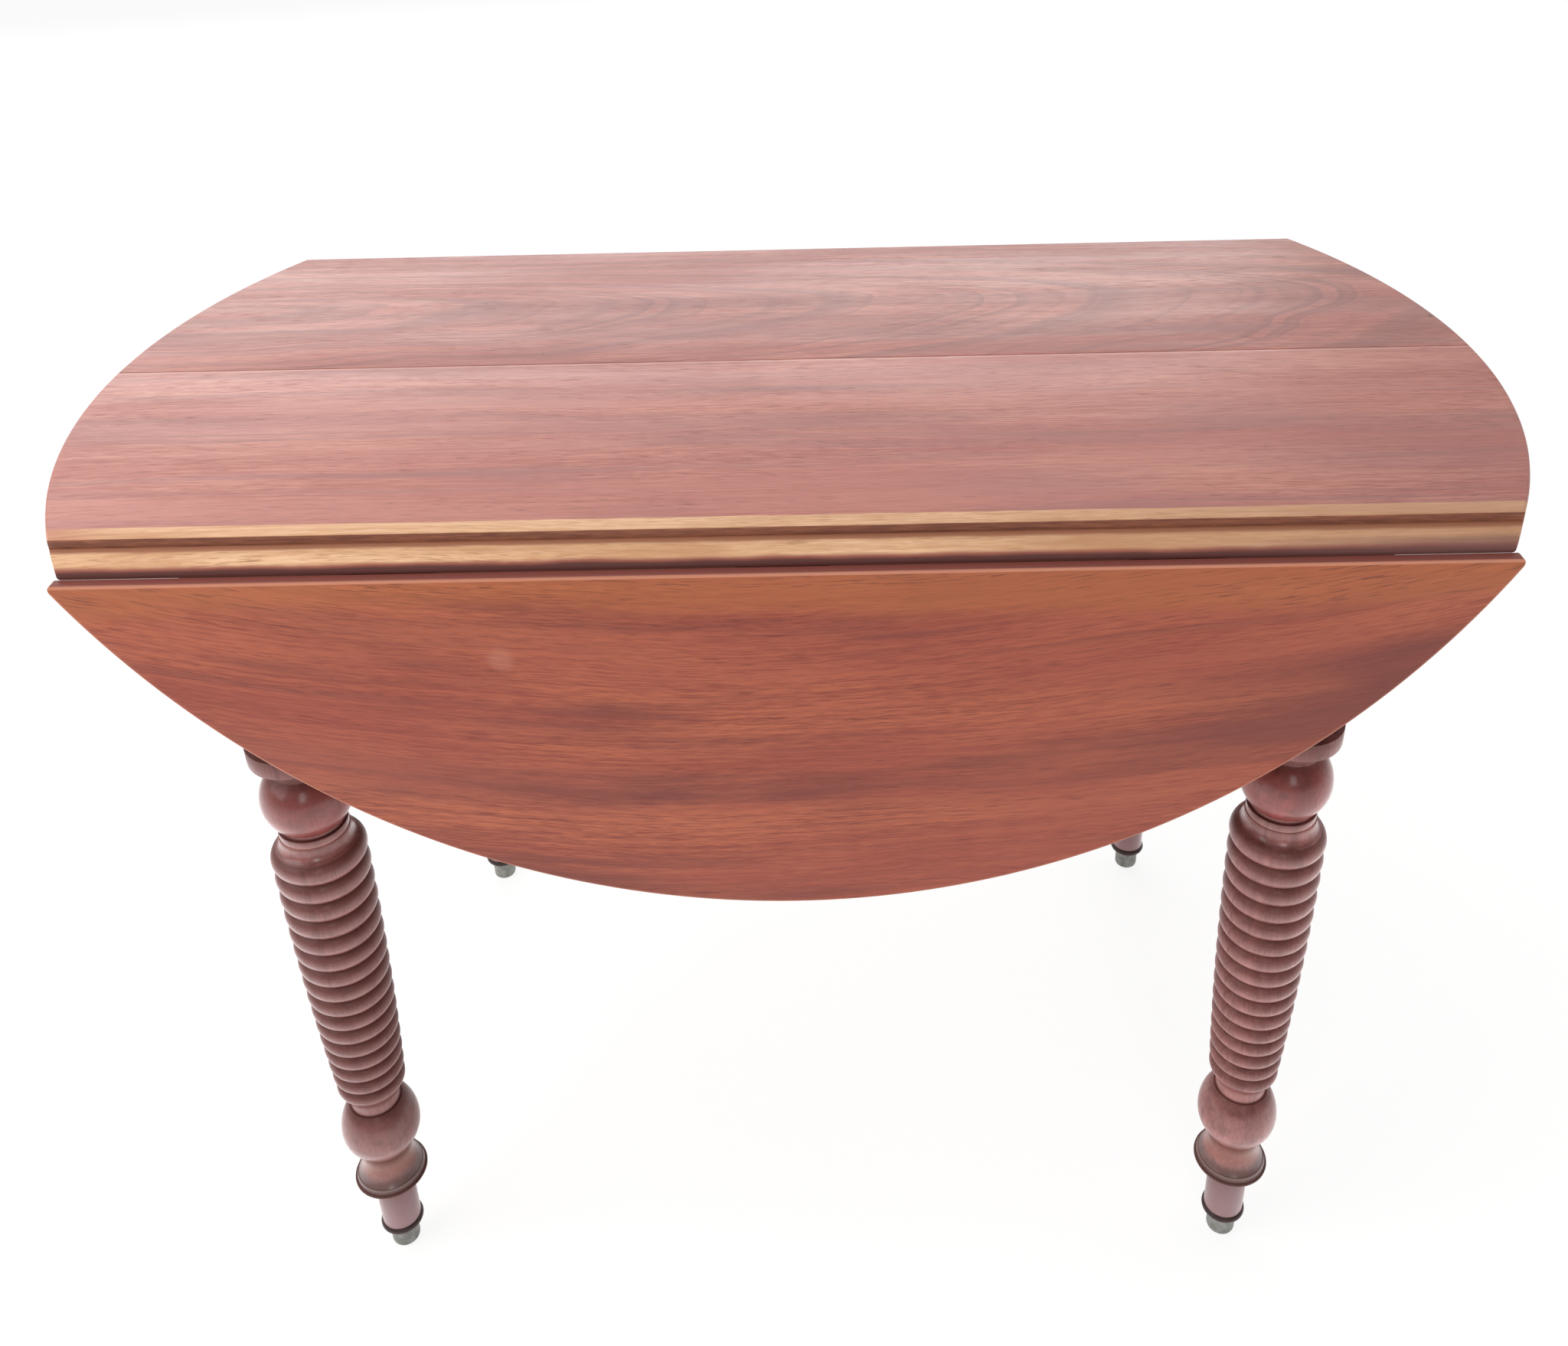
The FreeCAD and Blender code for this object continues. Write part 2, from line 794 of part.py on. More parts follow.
def make_leg(corner):
    name = f"leg_{corner}"
    turning = revolved(name + "_turning", draw_leg)
    block = box(
        name + "_block",
        "leg_block",
        "leg_block",
        "block_height",
        (-block_half, -block_half, underside - size("block_height")),
    )
    holes = peg_line(name + "_peg_hole", "peg_radius + peg_clearance", "peg_length + peg_clearance")
    leg = cut(name, fuse(name + "_blank", [turning, block]), mortises(name) + holes)
    finish(leg, name, leg_frame(corner))

    foot = f"foot_ferrule_{corner}"
    finish(revolved(foot, draw_ferrule), foot, leg_frame(corner))


def make_pegs():
    """All pegs of the frame as one group."""
    groups = []
    for corner in CORNERS:
        name = f"pegs_{corner}"
        group = doc.addObject("Part::Compound", name)
        group.Links = peg_line(name, "peg_radius", "peg_length")
        group.Placement = leg_frame(corner)
        groups.append(group)
    pegs = doc.addObject("Part::Compound", "joint_pegs")
    pegs.Links = groups
    finish(pegs, "joint_pegs")


# Aprons

def make_apron(label, between, formula, angle, distance, notched):
    """A rail between two leg blocks, drawn along X and set out from the middle of the table."""
    half = between / 2
    thickness = size("apron_thickness")
    rail = box(
        label + "_rail", formula, "apron_thickness", "apron_height", (-half, -thickness / 2, apron_bottom)
    )
    low, high = tenon_span()
    tenon_half = size("tenon_thickness") / 2
    tenon_height = "apron_height - tenon_haunch - tenon_foot"
    tenons = [
        box(
            f"{label}_tenon_{hand}",
            "tenon_length",
            "tenon_thickness",
            tenon_height,
            (start, -tenon_half, low),
        )
        for hand, start in (("left", -half - size("tenon_length")), ("right", half))
    ]
    tools = []
    for number, height in enumerate(peg_heights(), start=1):
        for hand, direction in (("left", -1), ("right", 1)):
            across = direction * (half + size("peg_inset"))
            hole = rod(
                f"{label}_peg_hole_{hand}_{number}",
                "peg_radius + peg_clearance",
                "apron_thickness",
                (across, -thickness / 2, height),
                (0, 1, 0),
            )
            tools.append(hole)
    if notched:
        slot = size("loper_width") / 2 + size("loper_play")
        for hand, place in loper_places.items():
            tools.append(
                plain(
                    f"{label}_notch_{hand}",
                    (place - slot, -thickness, batten_bottom),
                    (place + slot, thickness, underside + cut_margin),
                )
            )
    apron = cut(label, fuse(label + "_blank", [rail] + tenons), tools)
    place = turned(angle).multVec(Vector(0, distance, 0))
    finish(apron, label, Placement(place, turned(angle)))


def make_aprons():
    along = 2 * leg_x - size("leg_block")
    along_formula = "top_diameter - 2 * end_overhang - leg_block"
    across = 2 * leg_y - size("leg_block")
    across_formula = "centre_width - 2 * pin_rise - 2 * leaf_room - 2 * leg_block"
    side_distance = leg_y + apron_middle
    end_distance = leg_x + apron_middle
    make_apron("apron_rear", along, along_formula, 0, side_distance, True)
    make_apron("apron_left", across, across_formula, 90, end_distance, False)
    make_apron("apron_front", along, along_formula, 180, side_distance, True)
    make_apron("apron_right", across, across_formula, 270, end_distance, False)


# Under the top: tongue, battens, lopers, keepers and glue blocks

def make_tongue():
    length_formula = "top_diameter - 2 * tongue_setback"
    corner = (
        size("tongue_setback") - top_radius,
        -size("tongue_width") / 2,
        underside + size("board_thickness") / 2 - size("tongue_thickness") / 2,
    )
    finish(box("seam_tongue", length_formula, "tongue_width", "tongue_thickness", corner), "seam_tongue")


def keeper_screws(room=0.0):
    """Two screws up through each keeper into the battens beside its loper."""
    bottom = batten_bottom - size("keeper_thickness")
    row = leg_y + apron_inner - size("keeper_width") / 2
    return [
        screw_shape(
            Vector(centre, outward * row, bottom),
            size("batten_screw_radius"),
            size("batten_screw_head_radius"),
            size("keeper_thickness") + size("screw_bite"),
            room,
        )
        for centre in batten_centres().values()
        for outward in (-1, 1)
    ]


def make_battens():
    length = 2 * (leg_y + apron_inner)
    room = size("screw_clearance")
    for spot, centre in batten_centres().items():
        name = f"batten_{spot}"
        blank = box(
            name + "_blank",
            "batten_width",
            "centre_width - 2 * pin_rise - 2 * leaf_room - 2 * apron_setback - 2 * apron_thickness",
            "loper_height + loper_play",
            (centre - size("batten_width") / 2, -length / 2, batten_bottom),
        )
        holes = [
            hole
            for hole in batten_screws(room) + keeper_screws(room)
            if abs(hole.BoundBox.Center.x - centre) < size("batten_width") / 2
        ]
        finish(cut(name, blank, [gather(name + "_holes", holes)]), name)


def make_lopers():
    outer = leg_y + apron_middle + size("apron_thickness") / 2
    tail = size("loper_tail_gap") / 2
    length_formula = "centre_width / 2 - pin_rise - leaf_room - apron_setback - loper_tail_gap / 2"
    stop_shapes = []
    for side, angle in SIDES.items():
        for hand, place in loper_places.items():
            spot = Placement(Vector(), turned(angle))
            name = f"loper_{side}_{hand}"
            across = place if side == "rear" else -place
            bar = box(
                name + "_bar",
                "loper_width",
                length_formula,
                "loper_height",
                (across - size("loper_width") / 2, tail, batten_bottom),
            )
            scoop = rod(
                name + "_scoop",
                "scoop_radius",
                "loper_width",
                (across - size("loper_width") / 2, outer, batten_bottom + size("loper_height") / 2),
                (1, 0, 0),
            )
            foot = Vector(across, tail + size("stop_inset"), batten_bottom - size("stop_drop"))
            socket = rod(
                name + "_socket",
                "stop_radius + peg_clearance",
                "stop_depth + stop_drop",
                tuple(foot),
                (0, 0, 1),
            )
            finish(cut(name, bar, [scoop, socket]), name, spot)
            stop = Part.makeCylinder(size("stop_radius"), size("stop_depth") + size("stop_drop"), foot)
            stop.Placement = spot.multiply(stop.Placement)
            stop_shapes.append(stop)
    finish(gather("loper_stops", stop_shapes), "loper_stops")


def make_keepers():
    row = leg_y + apron_inner - size("keeper_width")
    half = size("loper_width") / 2 + size("loper_play") + size("batten_width")
    for side, angle in SIDES.items():
        for hand, place in loper_places.items():
            name = f"loper_keeper_{side}_{hand}"
            low = row if side == "rear" else -row - size("keeper_width")
            blank = box(
                name + "_blank",
                "loper_width + 2 * loper_play + 2 * batten_width",
                "keeper_width",
                "keeper_thickness",
                (place - half, low, batten_bottom - size("keeper_thickness")),
            )
            holes = [
                hole
                for hole in keeper_screws(size("screw_clearance"))
                if abs(hole.BoundBox.Center.x - place) < half
                and abs(hole.BoundBox.Center.y - low) < size("keeper_width")
            ]
            finish(cut(name, blank, [gather(name + "_holes", holes)]), name)


def make_glue_blocks():
    inner = leg_x + apron_inner
    side = size("glue_block_side")
    for label, start in (("glue_blocks_left", -inner), ("glue_blocks_right", inner - side)):
        blocks = [
            box(
                f"{label}_{step + 2}",
                "glue_block_side",
                "glue_block_length",
                "glue_block_side",
                (
                    start,
                    step * size("glue_block_spacing") - size("glue_block_length") / 2,
                    underside - side,
                ),
            )
            for step in (-1, 0, 1)
        ]
        group = doc.addObject("Part::Compound", label)
        group.Links = blocks
        finish(group, label)


# Build

for table_side in SIDES:
    make_top_board(table_side)
    make_leaf(table_side)
    for hinge_number, hinge_place in enumerate(hinge_places, start=1):
        make_hinge_plate(table_side, hinge_number, hinge_place)
        make_hinge_flap(table_side, hinge_number, hinge_place)
        make_hinge_pin(table_side, hinge_number, hinge_place)
    plate_group = gather(f"plate_screws_{table_side}", along_hinge_line(plate_screws))
    finish(plate_group, f"hinge_plate_screws_{table_side}", hinge_frame(table_side))
    flap_group = gather(f"flap_screws_{table_side}", along_hinge_line(flap_screws))
    finish(flap_group, f"hinge_flap_screws_{table_side}", hanging_frame(table_side))
for table_corner in CORNERS:
    make_leg(table_corner)
make_pegs()
make_aprons()
make_tongue()
make_battens()
finish(gather("batten_screws", batten_screws()), "batten_screws")
make_lopers()
make_keepers()
finish(gather("keeper_screws", keeper_screws()), "keeper_screws")
make_glue_blocks()
doc.recompute()

# Check every feature, then write one file for each sub-part

for feature in doc.Objects:
    if "Invalid" in feature.State or "Error" in feature.State:
        raise RuntimeError(f"{feature.Label} did not build: {feature.State}")
os.makedirs("parts", exist_ok=True)
for piece in finished:
    if piece.Shape.isNull() or not piece.Shape.isValid() or not piece.Shape.Solids:
        raise RuntimeError(f"{piece.Label} is not a sound solid")
    piece.Shape.exportStep(f"parts/{piece.Label}.step")
    extent = piece.Shape.BoundBox
    print(f"{piece.Label}: {len(piece.Shape.Solids)} solid, {piece.Shape.Volume / 1000:.1f} cm3, "
          f"z {extent.ZMin:.1f} to {extent.ZMax:.1f}")
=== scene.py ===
# Looks of the round drop-leaf table: polished pieces, mahogany and metal, floor, light and camera.
# Pieces are drawn in millimetres and brought to metres when they are finished.

import json
import math

import bmesh
import bpy
from mathutils import Matrix, Vector


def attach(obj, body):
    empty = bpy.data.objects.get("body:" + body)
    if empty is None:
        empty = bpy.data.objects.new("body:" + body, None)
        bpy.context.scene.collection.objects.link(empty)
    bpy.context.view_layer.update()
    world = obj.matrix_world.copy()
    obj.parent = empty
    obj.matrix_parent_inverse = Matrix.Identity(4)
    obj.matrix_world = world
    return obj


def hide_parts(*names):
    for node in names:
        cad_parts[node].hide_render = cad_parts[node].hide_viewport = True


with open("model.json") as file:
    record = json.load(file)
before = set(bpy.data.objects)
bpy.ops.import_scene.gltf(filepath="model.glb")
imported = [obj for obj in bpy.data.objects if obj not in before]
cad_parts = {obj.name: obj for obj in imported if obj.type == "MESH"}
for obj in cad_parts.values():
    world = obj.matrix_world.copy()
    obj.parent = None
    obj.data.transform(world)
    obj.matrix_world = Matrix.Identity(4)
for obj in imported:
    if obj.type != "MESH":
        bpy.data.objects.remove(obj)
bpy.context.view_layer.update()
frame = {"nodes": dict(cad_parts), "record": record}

MM = 0.001

# Sizes of the table, the same as the construction's

TABLE_HEIGHT = 740
TOP_RADIUS = 540
HALF_WIDTH = 264
THICKNESS = 22
UNDERSIDE = TABLE_HEIGHT - THICKNESS
PIN_RISE = 0.5
PIN_HEIGHT = UNDERSIDE + PIN_RISE
RULE_FILLET = 7.5
RULE_RADIUS = THICKNESS - RULE_FILLET - PIN_RISE
RULE_CLEARANCE = 0.5
LEAF_GAP = 0.3
FACE = RULE_RADIUS + RULE_FILLET

LEG_X = 359
LEG_Y = 225
BLOCK = 72
BLOCK_LOW = 590

HINGE_PLACES = (-250, 0, 250)

# Roundings that wear and polish left on the edges

RIM_ROUND = 2.2
ARRIS_ROUND = 1.2
SEAM_ROUND = 0.9
CORNER_TRIM = 4.5
CORNER_ROUND = 3.2
CORNER_MARGIN = 0.05
SEAM_GAP = 0.12

# The disc that trims the boards is so much thicker on each face, so that no two faces lie in one plane
SPARE = 0.01

MERGE_DISTANCE = 0.001
RIM_STEPS = 288
LEG_STEPS = 96
SMOOTH_ANGLE = math.radians(38)

SIDES = {"front": 180, "rear": 0}
CORNERS = {
    "front_left": (-1, -1),
    "front_right": (1, -1),
    "rear_left": (-1, 1),
    "rear_right": (1, 1),
}


# Drawing with bmesh

def circle_through(first, second, third):
    """Middle of the circle through three points of the drawing plane."""
    (ax, az), (bx, bz), (cx, cz) = first, second, third
    twice_area = 2 * (ax * (bz - cz) + bx * (cz - az) + cx * (az - bz))
    a_square = ax ** 2 + az ** 2
    b_square = bx ** 2 + bz ** 2
    c_square = cx ** 2 + cz ** 2
    middle_x = a_square * (bz - cz) + b_square * (cz - az) + c_square * (az - bz)
    middle_z = a_square * (cx - bx) + b_square * (ax - cx) + c_square * (bx - ax)
    return middle_x / twice_area, middle_z / twice_area


class Outline:
    """A line drawn in the XZ plane, with lines and arcs one after the other."""

    def __init__(self, across, up):
        self.mesh = bmesh.new()
        # The wear layer also holds the painted shade of the legs
        self.wear = self.mesh.verts.layers.float.new("wear")
        self.tip = self.mesh.verts.new((across, 0, up))
        self.start = self.tip

    def place(self):
        """Where the line has come to."""
        return self.tip.co.x, self.tip.co.z

    def line(self, across, up):
        """A straight line to this point."""
        made = bmesh.ops.extrude_vert_indiv(self.mesh, verts=[self.tip])
        self.tip = made["verts"][0]
        self.tip.co = (across, 0, up)

    def arc(self, through, end, steps):
        """An arc over the point through to the point end."""
        start = self.place()
        middle = circle_through(start, through, end)
        turns = [math.atan2(x - middle[0], z - middle[1]) for x, z in (start, through, end)]
        sweep = (turns[2] - turns[0]) % math.tau
        if (turns[1] - turns[0]) % math.tau > sweep:
            sweep -= math.tau
        made = bmesh.ops.spin(
            self.mesh,
            geom=[self.tip],
            cent=(middle[0], 0, middle[1]),
            axis=(0, 1, 0),
            angle=sweep,
            steps=steps,
        )
        self.tip = next(part for part in made["geom_last"] if isinstance(part, bmesh.types.BMVert))

    def bow(self, across, up, depth, steps):
        """A shallow arc to this point; a negative depth hollows it towards the axis."""
        start = Vector(self.place())
        end = Vector((across, up))
        along = (end - start).normalized()
        outward = Vector((along.y, -along.x))
        middle = (start + end) / 2 + outward * depth
        self.arc(tuple(middle), (across, up), steps)

    def swell(self, across, up, steps):
        """An arc that starts upright, as at the widest place of a ball, and ends nearer the axis."""
        start_across, start_up = self.place()
        inward = start_across - across
        rise = up - start_up
        radius = (inward ** 2 + rise ** 2) / (2 * inward)
        half_turn = math.asin(rise / radius) / 2
        middle_across = start_across - radius * (1 - math.cos(half_turn))
        self.arc((middle_across, start_up + radius * math.sin(half_turn)), (across, up), steps)

    def close(self):
        """Joins the last point to the first."""
        self.mesh.edges.new((self.tip, self.start))


def turned_solid(outline, steps):
    """The outline spun once round the Z axis."""
    mesh = outline.mesh
    bmesh.ops.spin(
        mesh,
        geom=mesh.verts[:] + mesh.edges[:],
        cent=(0, 0, 0),
        axis=(0, 0, 1),
        angle=math.tau,
        steps=steps,
        use_merge=True,
    )
    bmesh.ops.remove_doubles(mesh, verts=mesh.verts, dist=MERGE_DISTANCE)
    bmesh.ops.recalc_face_normals(mesh, faces=mesh.faces)
    return mesh


def move(mesh, way):
    """Moves the whole mesh."""
    bmesh.ops.translate(mesh, verts=mesh.verts, vec=way)


def turn(mesh, matrix):
    """Turns the whole mesh about the origin."""
    bmesh.ops.rotate(mesh, verts=mesh.verts, cent=(0, 0, 0), matrix=matrix)


def moulding(outline, length):
    """The closed outline as a bar of this length along X, its drawing's across turned to Y."""
    mesh = outline.mesh
    bmesh.ops.contextual_create(mesh, geom=mesh.edges[:])
    turn(mesh, Matrix.Rotation(math.pi / 2, 3, "Z"))
    move(mesh, (-length / 2, 0, 0))
    made = bmesh.ops.extrude_face_region(mesh, geom=mesh.faces[:])
    moved = [part for part in made["geom"] if isinstance(part, bmesh.types.BMVert)]
    bmesh.ops.translate(mesh, verts=moved, vec=(length, 0, 0))
    bmesh.ops.recalc_face_normals(mesh, faces=mesh.faces)
    return mesh


def round_edges(mesh, edges, size, segments):
    """Rounds these edges of the mesh by size."""
    bmesh.ops.bevel(
        mesh,
        geom=edges,
        offset=size,
        offset_type="OFFSET",
        segments=segments,
        profile=0.5,
        affect="EDGES",
        material=-1,
    )


def block(low, high, ease=0.0):
    """A box between two corners, its edges rounded by ease."""
    mesh = bmesh.new()
    bmesh.ops.create_cube(mesh, size=1)
    low = Vector(low)
    high = Vector(high)
    bmesh.ops.scale(mesh, verts=mesh.verts, vec=high - low)
    move(mesh, (low + high) / 2)
    if ease:
        round_edges(mesh, mesh.edges[:], ease, segments=3)
    return mesh


def mesh_data(name, mesh):
    """The drawn mesh as data that an object can show; the drawing is freed."""
    data = bpy.data.meshes.new(name)
    mesh.to_mesh(data)
    mesh.free()
    return data


def new_object(name, data):
    """An object of the scene with this data."""
    made = bpy.data.objects.new(name, data)
    bpy.context.scene.collection.objects.link(made)
    return made


def joined(meshes):
    """Several shells as one mesh."""
    whole = bmesh.new()
    whole.verts.layers.float.new("wear")
    for mesh in meshes:
        data = mesh_data("shell", mesh)
        whole.from_mesh(data)
        bpy.data.meshes.remove(data)
    return whole


def carved(mesh, tool, operation):
    """The solid kept inside the tool (INTERSECT) or without it (DIFFERENCE)."""
    solid = new_object("solid", mesh_data("solid", mesh))
    cutter = new_object("cutter", mesh_data("cutter", tool))
    step = solid.modifiers.new("carve", "BOOLEAN")
    step.operation = operation
    step.solver = "EXACT"
    step.use_self = operation == "DIFFERENCE"
    step.object = cutter
    seen = bpy.context.evaluated_depsgraph_get()
    data = bpy.data.meshes.new_from_object(solid.evaluated_get(seen))
    result = bmesh.new()
    result.from_mesh(data)
    for thing in (solid, cutter):
        spare = thing.data
        bpy.data.objects.remove(thing)
        bpy.data.meshes.remove(spare)
    bpy.data.meshes.remove(data)
    return result


def finished(name, mesh, body, slot, nodes, material=None):
    """The mesh as a piece in metres that rides on a body, has a finish and stands for CAD nodes."""
    bmesh.ops.scale(mesh, verts=mesh.verts, vec=(MM, MM, MM))
    data = mesh_data(name, mesh)
    data.shade_smooth()
    data.set_sharp_from_angle(angle=SMOOTH_ANGLE)
    data.materials.append(material or SLOT_FINISHES[slot])
    piece = new_object(name, data)
    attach(piece, body)
    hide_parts(*nodes)


# Node recipes

UNMOVED = (0.0, 0.0, 0.0)


class Value:
    """What a node puts out; sums, differences and products of values add further nodes."""

    def __init__(self, recipe, socket):
        self.recipe = recipe
        self.socket = socket

    def __add__(self, other):
        return self.recipe.maths("ADD", self, other)

    def __sub__(self, other):
        return self.recipe.maths("SUBTRACT", self, other)

    def __rsub__(self, other):
        return self.recipe.maths("SUBTRACT", other, self)

    def __mul__(self, other):
        return self.recipe.maths("MULTIPLY", self, other)


class Recipe:
    """The nodes of a material or a node group, added in the order in which the finish builds up."""

    def __init__(self, tree):
        self.tree = tree

    def feed(self, socket, value):
        """Links a socket to a value, or sets it to a plain number, place or colour."""
        if isinstance(value, Value):
            self.tree.links.new(value.socket, socket)
        elif socket.type == "RGBA":
            socket.default_value = (*value, 1)
        else:
            socket.default_value = value

    def node(self, kind, fed=(), **settings):
        """A new node with these settings and values; returns what it puts out, by number and by name."""
        made = self.tree.nodes.new(f"ShaderNode{kind}")
        for field, setting in settings.items():
            setattr(made, field, setting)
        for field, value in dict(fed).items():
            self.feed(made.inputs[field], value)
        values = [Value(self, output) for output in made.outputs]
        return dict(enumerate(values)) | {value.socket.name: value for value in values}

    def maths(self, operation, first, second=0.0):
        return self.node("Math", {0: first, 1: second}, operation=operation)[0]

    def fade(self, value, low, high, start=0.0, end=1.0):
        """Smoothly from start to end while value goes from low to high."""
        fed = dict(enumerate((value, low, high, start, end)))
        return self.node("MapRange", fed, interpolation_type="SMOOTHSTEP", clamp=True)[0]

    def band(self, value, low, high, soft):
        """One between low and high, fading out over soft on both sides."""
        rising = self.fade(value, low - soft, low)
        falling = self.fade(value, high, high + soft, 1.0, 0.0)
        return rising * falling

    def blend(self, share, first, second, mode="MIX"):
        """The first colour, with this share of the second one blended in."""
        fed = {0: share, 6: first, 7: second}
        return self.node("Mix", fed, data_type="RGBA", blend_type=mode, clamp_factor=True)[2]

    def layered(self, colour, *layers):
        """A colour with others laid over it, each given as its share and its colour."""
        for share, tint in layers:
            colour = self.blend(share, colour, tint)
        return colour

    def place(self):
        """The point on the object, in metres."""
        return self.node("TexCoord")["Object"]

    def split(self, vector):
        """The three coordinates of a vector."""
        values = self.node("SeparateXYZ", {0: vector})
        return values[0], values[1], values[2]

    def vector(self, x, y, z):
        return self.node("CombineXYZ", {0: x, 1: y, 2: z})[0]

    def sum_of(self, first, second):
        return self.node("VectorMath", {0: first, 1: second}, operation="ADD")[0]

    def stretched(self, vector, factors, shift):
        """A vector times these factors, then shifted."""
        fed = {0: vector, 1: factors, 2: shift}
        return self.node("VectorMath", fed, operation="MULTIPLY_ADD")[0]

    def noise(self, place, stretch, shift=UNMOVED, detail=2.0, roughness=0.5):
        """Cloudy noise about 0.5, so many clouds a metre along each axis."""
        vector = self.stretched(place, stretch, shift)
        fed = {"Vector": vector, "Scale": 1.0, "Detail": detail, "Roughness": roughness}
        return self.node("TexNoise", fed)[0]

    def group(self, tree, place):
        """What a node group puts out at this place."""
        return self.node("Group", {"Place": place}, node_tree=tree)


def new_group(name, labels):
    """A node group that works from a place; returns its recipe, the place and its results' sockets."""
    tree = bpy.data.node_groups.new(name, "ShaderNodeTree")
    tree.interface.new_socket("Place", in_out="INPUT", socket_type="NodeSocketVector")
    for label in labels:
        tree.interface.new_socket(label, in_out="OUTPUT", socket_type="NodeSocketFloat")
    recipe = Recipe(tree)
    place = Value(recipe, tree.nodes.new("NodeGroupInput").outputs["Place"])
    return recipe, place, tree.nodes.new("NodeGroupOutput").inputs


# Layers of the grain: stretch along it and across it, shift, detail, roughness, and the span of the fade
GRAIN_LAYERS = {
    "Bands": (1.7, 21.0, UNMOVED, 3.0, 0.6, (0.36, 0.68)),
    "Lines": (5.5, 300.0, UNMOVED, 3.0, 0.6, (0.32, 0.68)),
    "Fibres": (55.0, 760.0, UNMOVED, 2.0, 0.6, (0.3, 0.7)),
    "Blotch": (2.4, 15.0, UNMOVED, 3.0, 0.6, (0.32, 0.68)),
    "Hue": (3.0, 16.0, (4.0, 9.0, 2.0), 2.0, 0.5, (0.34, 0.66)),
    "Strands": (1.5, 130.0, (7.0, 1.0, 5.0), 1.0, 0.5, (0.62, 0.74)),
}


def grain_group():
    """What a sawn mahogany board shows, the grain along X: each result runs from 0 to 1."""
    recipe, given, results = new_group("mahogany grain", (*GRAIN_LAYERS, "Pores"))
    waver = recipe.noise(given, (2.6, 5.0, 5.0), detail=1.0)
    place = recipe.sum_of(given, recipe.vector(0.0, (waver - 0.5) * 0.03, 0.0))
    for label, (along, across, shift, detail, roughness, span) in GRAIN_LAYERS.items():
        layer = recipe.noise(place, (along, across, across), shift, detail, roughness)
        recipe.feed(results[label], recipe.fade(layer, *span))
    pores = recipe.noise(place, (55.0, 950.0, 950.0), detail=1.0)
    gathered = recipe.noise(place, (3.0, 90.0, 90.0), detail=2.0)
    pores = recipe.fade(pores, 0.58, 0.68) * recipe.fade(gathered, 0.4, 0.62, 0.2, 1.0)
    recipe.feed(results["Pores"], pores)
    return recipe.tree


def flame_group():
    """Flat-sawn figure: nested flames with tips along X on the heart line at Y = 0, broader below it."""
    recipe, given, results = new_group("flame figure", ["Flame"])
    waver = recipe.noise(given, (4.0, 11.0, 11.0), detail=2.0)
    x, y = recipe.split(given)[:2]
    slanted = y * recipe.fade(y, -0.02, 0.02, 0.42, 1.0)
    off_heart = slanted + (waver - 0.5) * 0.03
    depth = x * 0.1 + 0.05
    distance = recipe.maths("SQRT", off_heart * off_heart + depth * depth)
    fed = {"W": distance * 40.0, "Detail": 2.0}
    rings = recipe.node("TexNoise", fed, noise_dimensions="1D")[0]
    year = recipe.maths("FRACT", distance * 70.0 + rings * 2.0)
    late_wood = recipe.fade(year, 0.15, 0.92) * recipe.fade(year, 0.93, 0.99, 1.0, 0.0)
    recipe.feed(results["Flame"], late_wood * recipe.fade(rings, 0.3, 0.6, 0.35, 1.0))
    return recipe.tree


# Fine scratches lie in three directions: turn in radians, and shift
SCRATCHES = ((0.5, 0.0), (-0.9, 3.7), (1.3, 8.1))


def scattered(recipe, place, scale, span, chosen_by, chosen_from):
    """Round spots of a few cells: scale of the cells, fade of a spot, and which cells have one."""
    cells = recipe.node("TexVoronoi", {"Vector": place, "Scale": scale})
    chosen = recipe.split(cells["Color"])[chosen_by]
    return recipe.fade(cells["Distance"], *span, 1.0, 0.0) * recipe.fade(chosen, *chosen_from)


def handling_group():
    """Marks of use: fine scratches, small dents and pale round spots."""
    recipe, place, results = new_group("marks of use", ("Scratches", "Dents", "Spots"))
    scratches = 0.0
    for angle, shift in SCRATCHES:
        fed = {"Vector": place, "Rotation": (0.0, 0.0, angle), "Location": (shift, shift, 0.0)}
        turned = recipe.node("Mapping", fed)[0]
        fine = recipe.noise(turned, (9.0, 520.0, 4.0), detail=0.0)
        scratches = recipe.maths("MAXIMUM", scratches, recipe.fade(fine, 0.79, 0.84))
    recipe.feed(results["Scratches"], scratches)
    recipe.feed(results["Dents"], scattered(recipe, place, 15.0, (0.03, 0.055), 0, (0.72, 0.76)))
    recipe.feed(results["Spots"], scattered(recipe, place, 6.0, (0.03, 0.075), 1, (0.6, 0.64)))
    return recipe.tree


GRAIN = grain_group()
FLAME = flame_group()
HANDLING = handling_group()


def wood_maps(recipe, place):
    """The grain and the marks of use at this place."""
    return recipe.group(GRAIN, place), recipe.group(HANDLING, place)


def new_material(name):
    """A material with its Principled shader ready; returns it, its recipe and the shader's inputs."""
    material = bpy.data.materials.new(name)
    material.use_nodes = True
    recipe = Recipe(material.node_tree)
    shader = material.node_tree.nodes["Principled BSDF"]
    return material, recipe, shader.inputs


def relief(recipe, shader, height, depth, strength):
    """A bump of this depth in metres on the shader."""
    bump = recipe.node("Bump", {"Strength": strength, "Distance": depth, "Height": height})
    recipe.feed(shader["Normal"], bump[0])


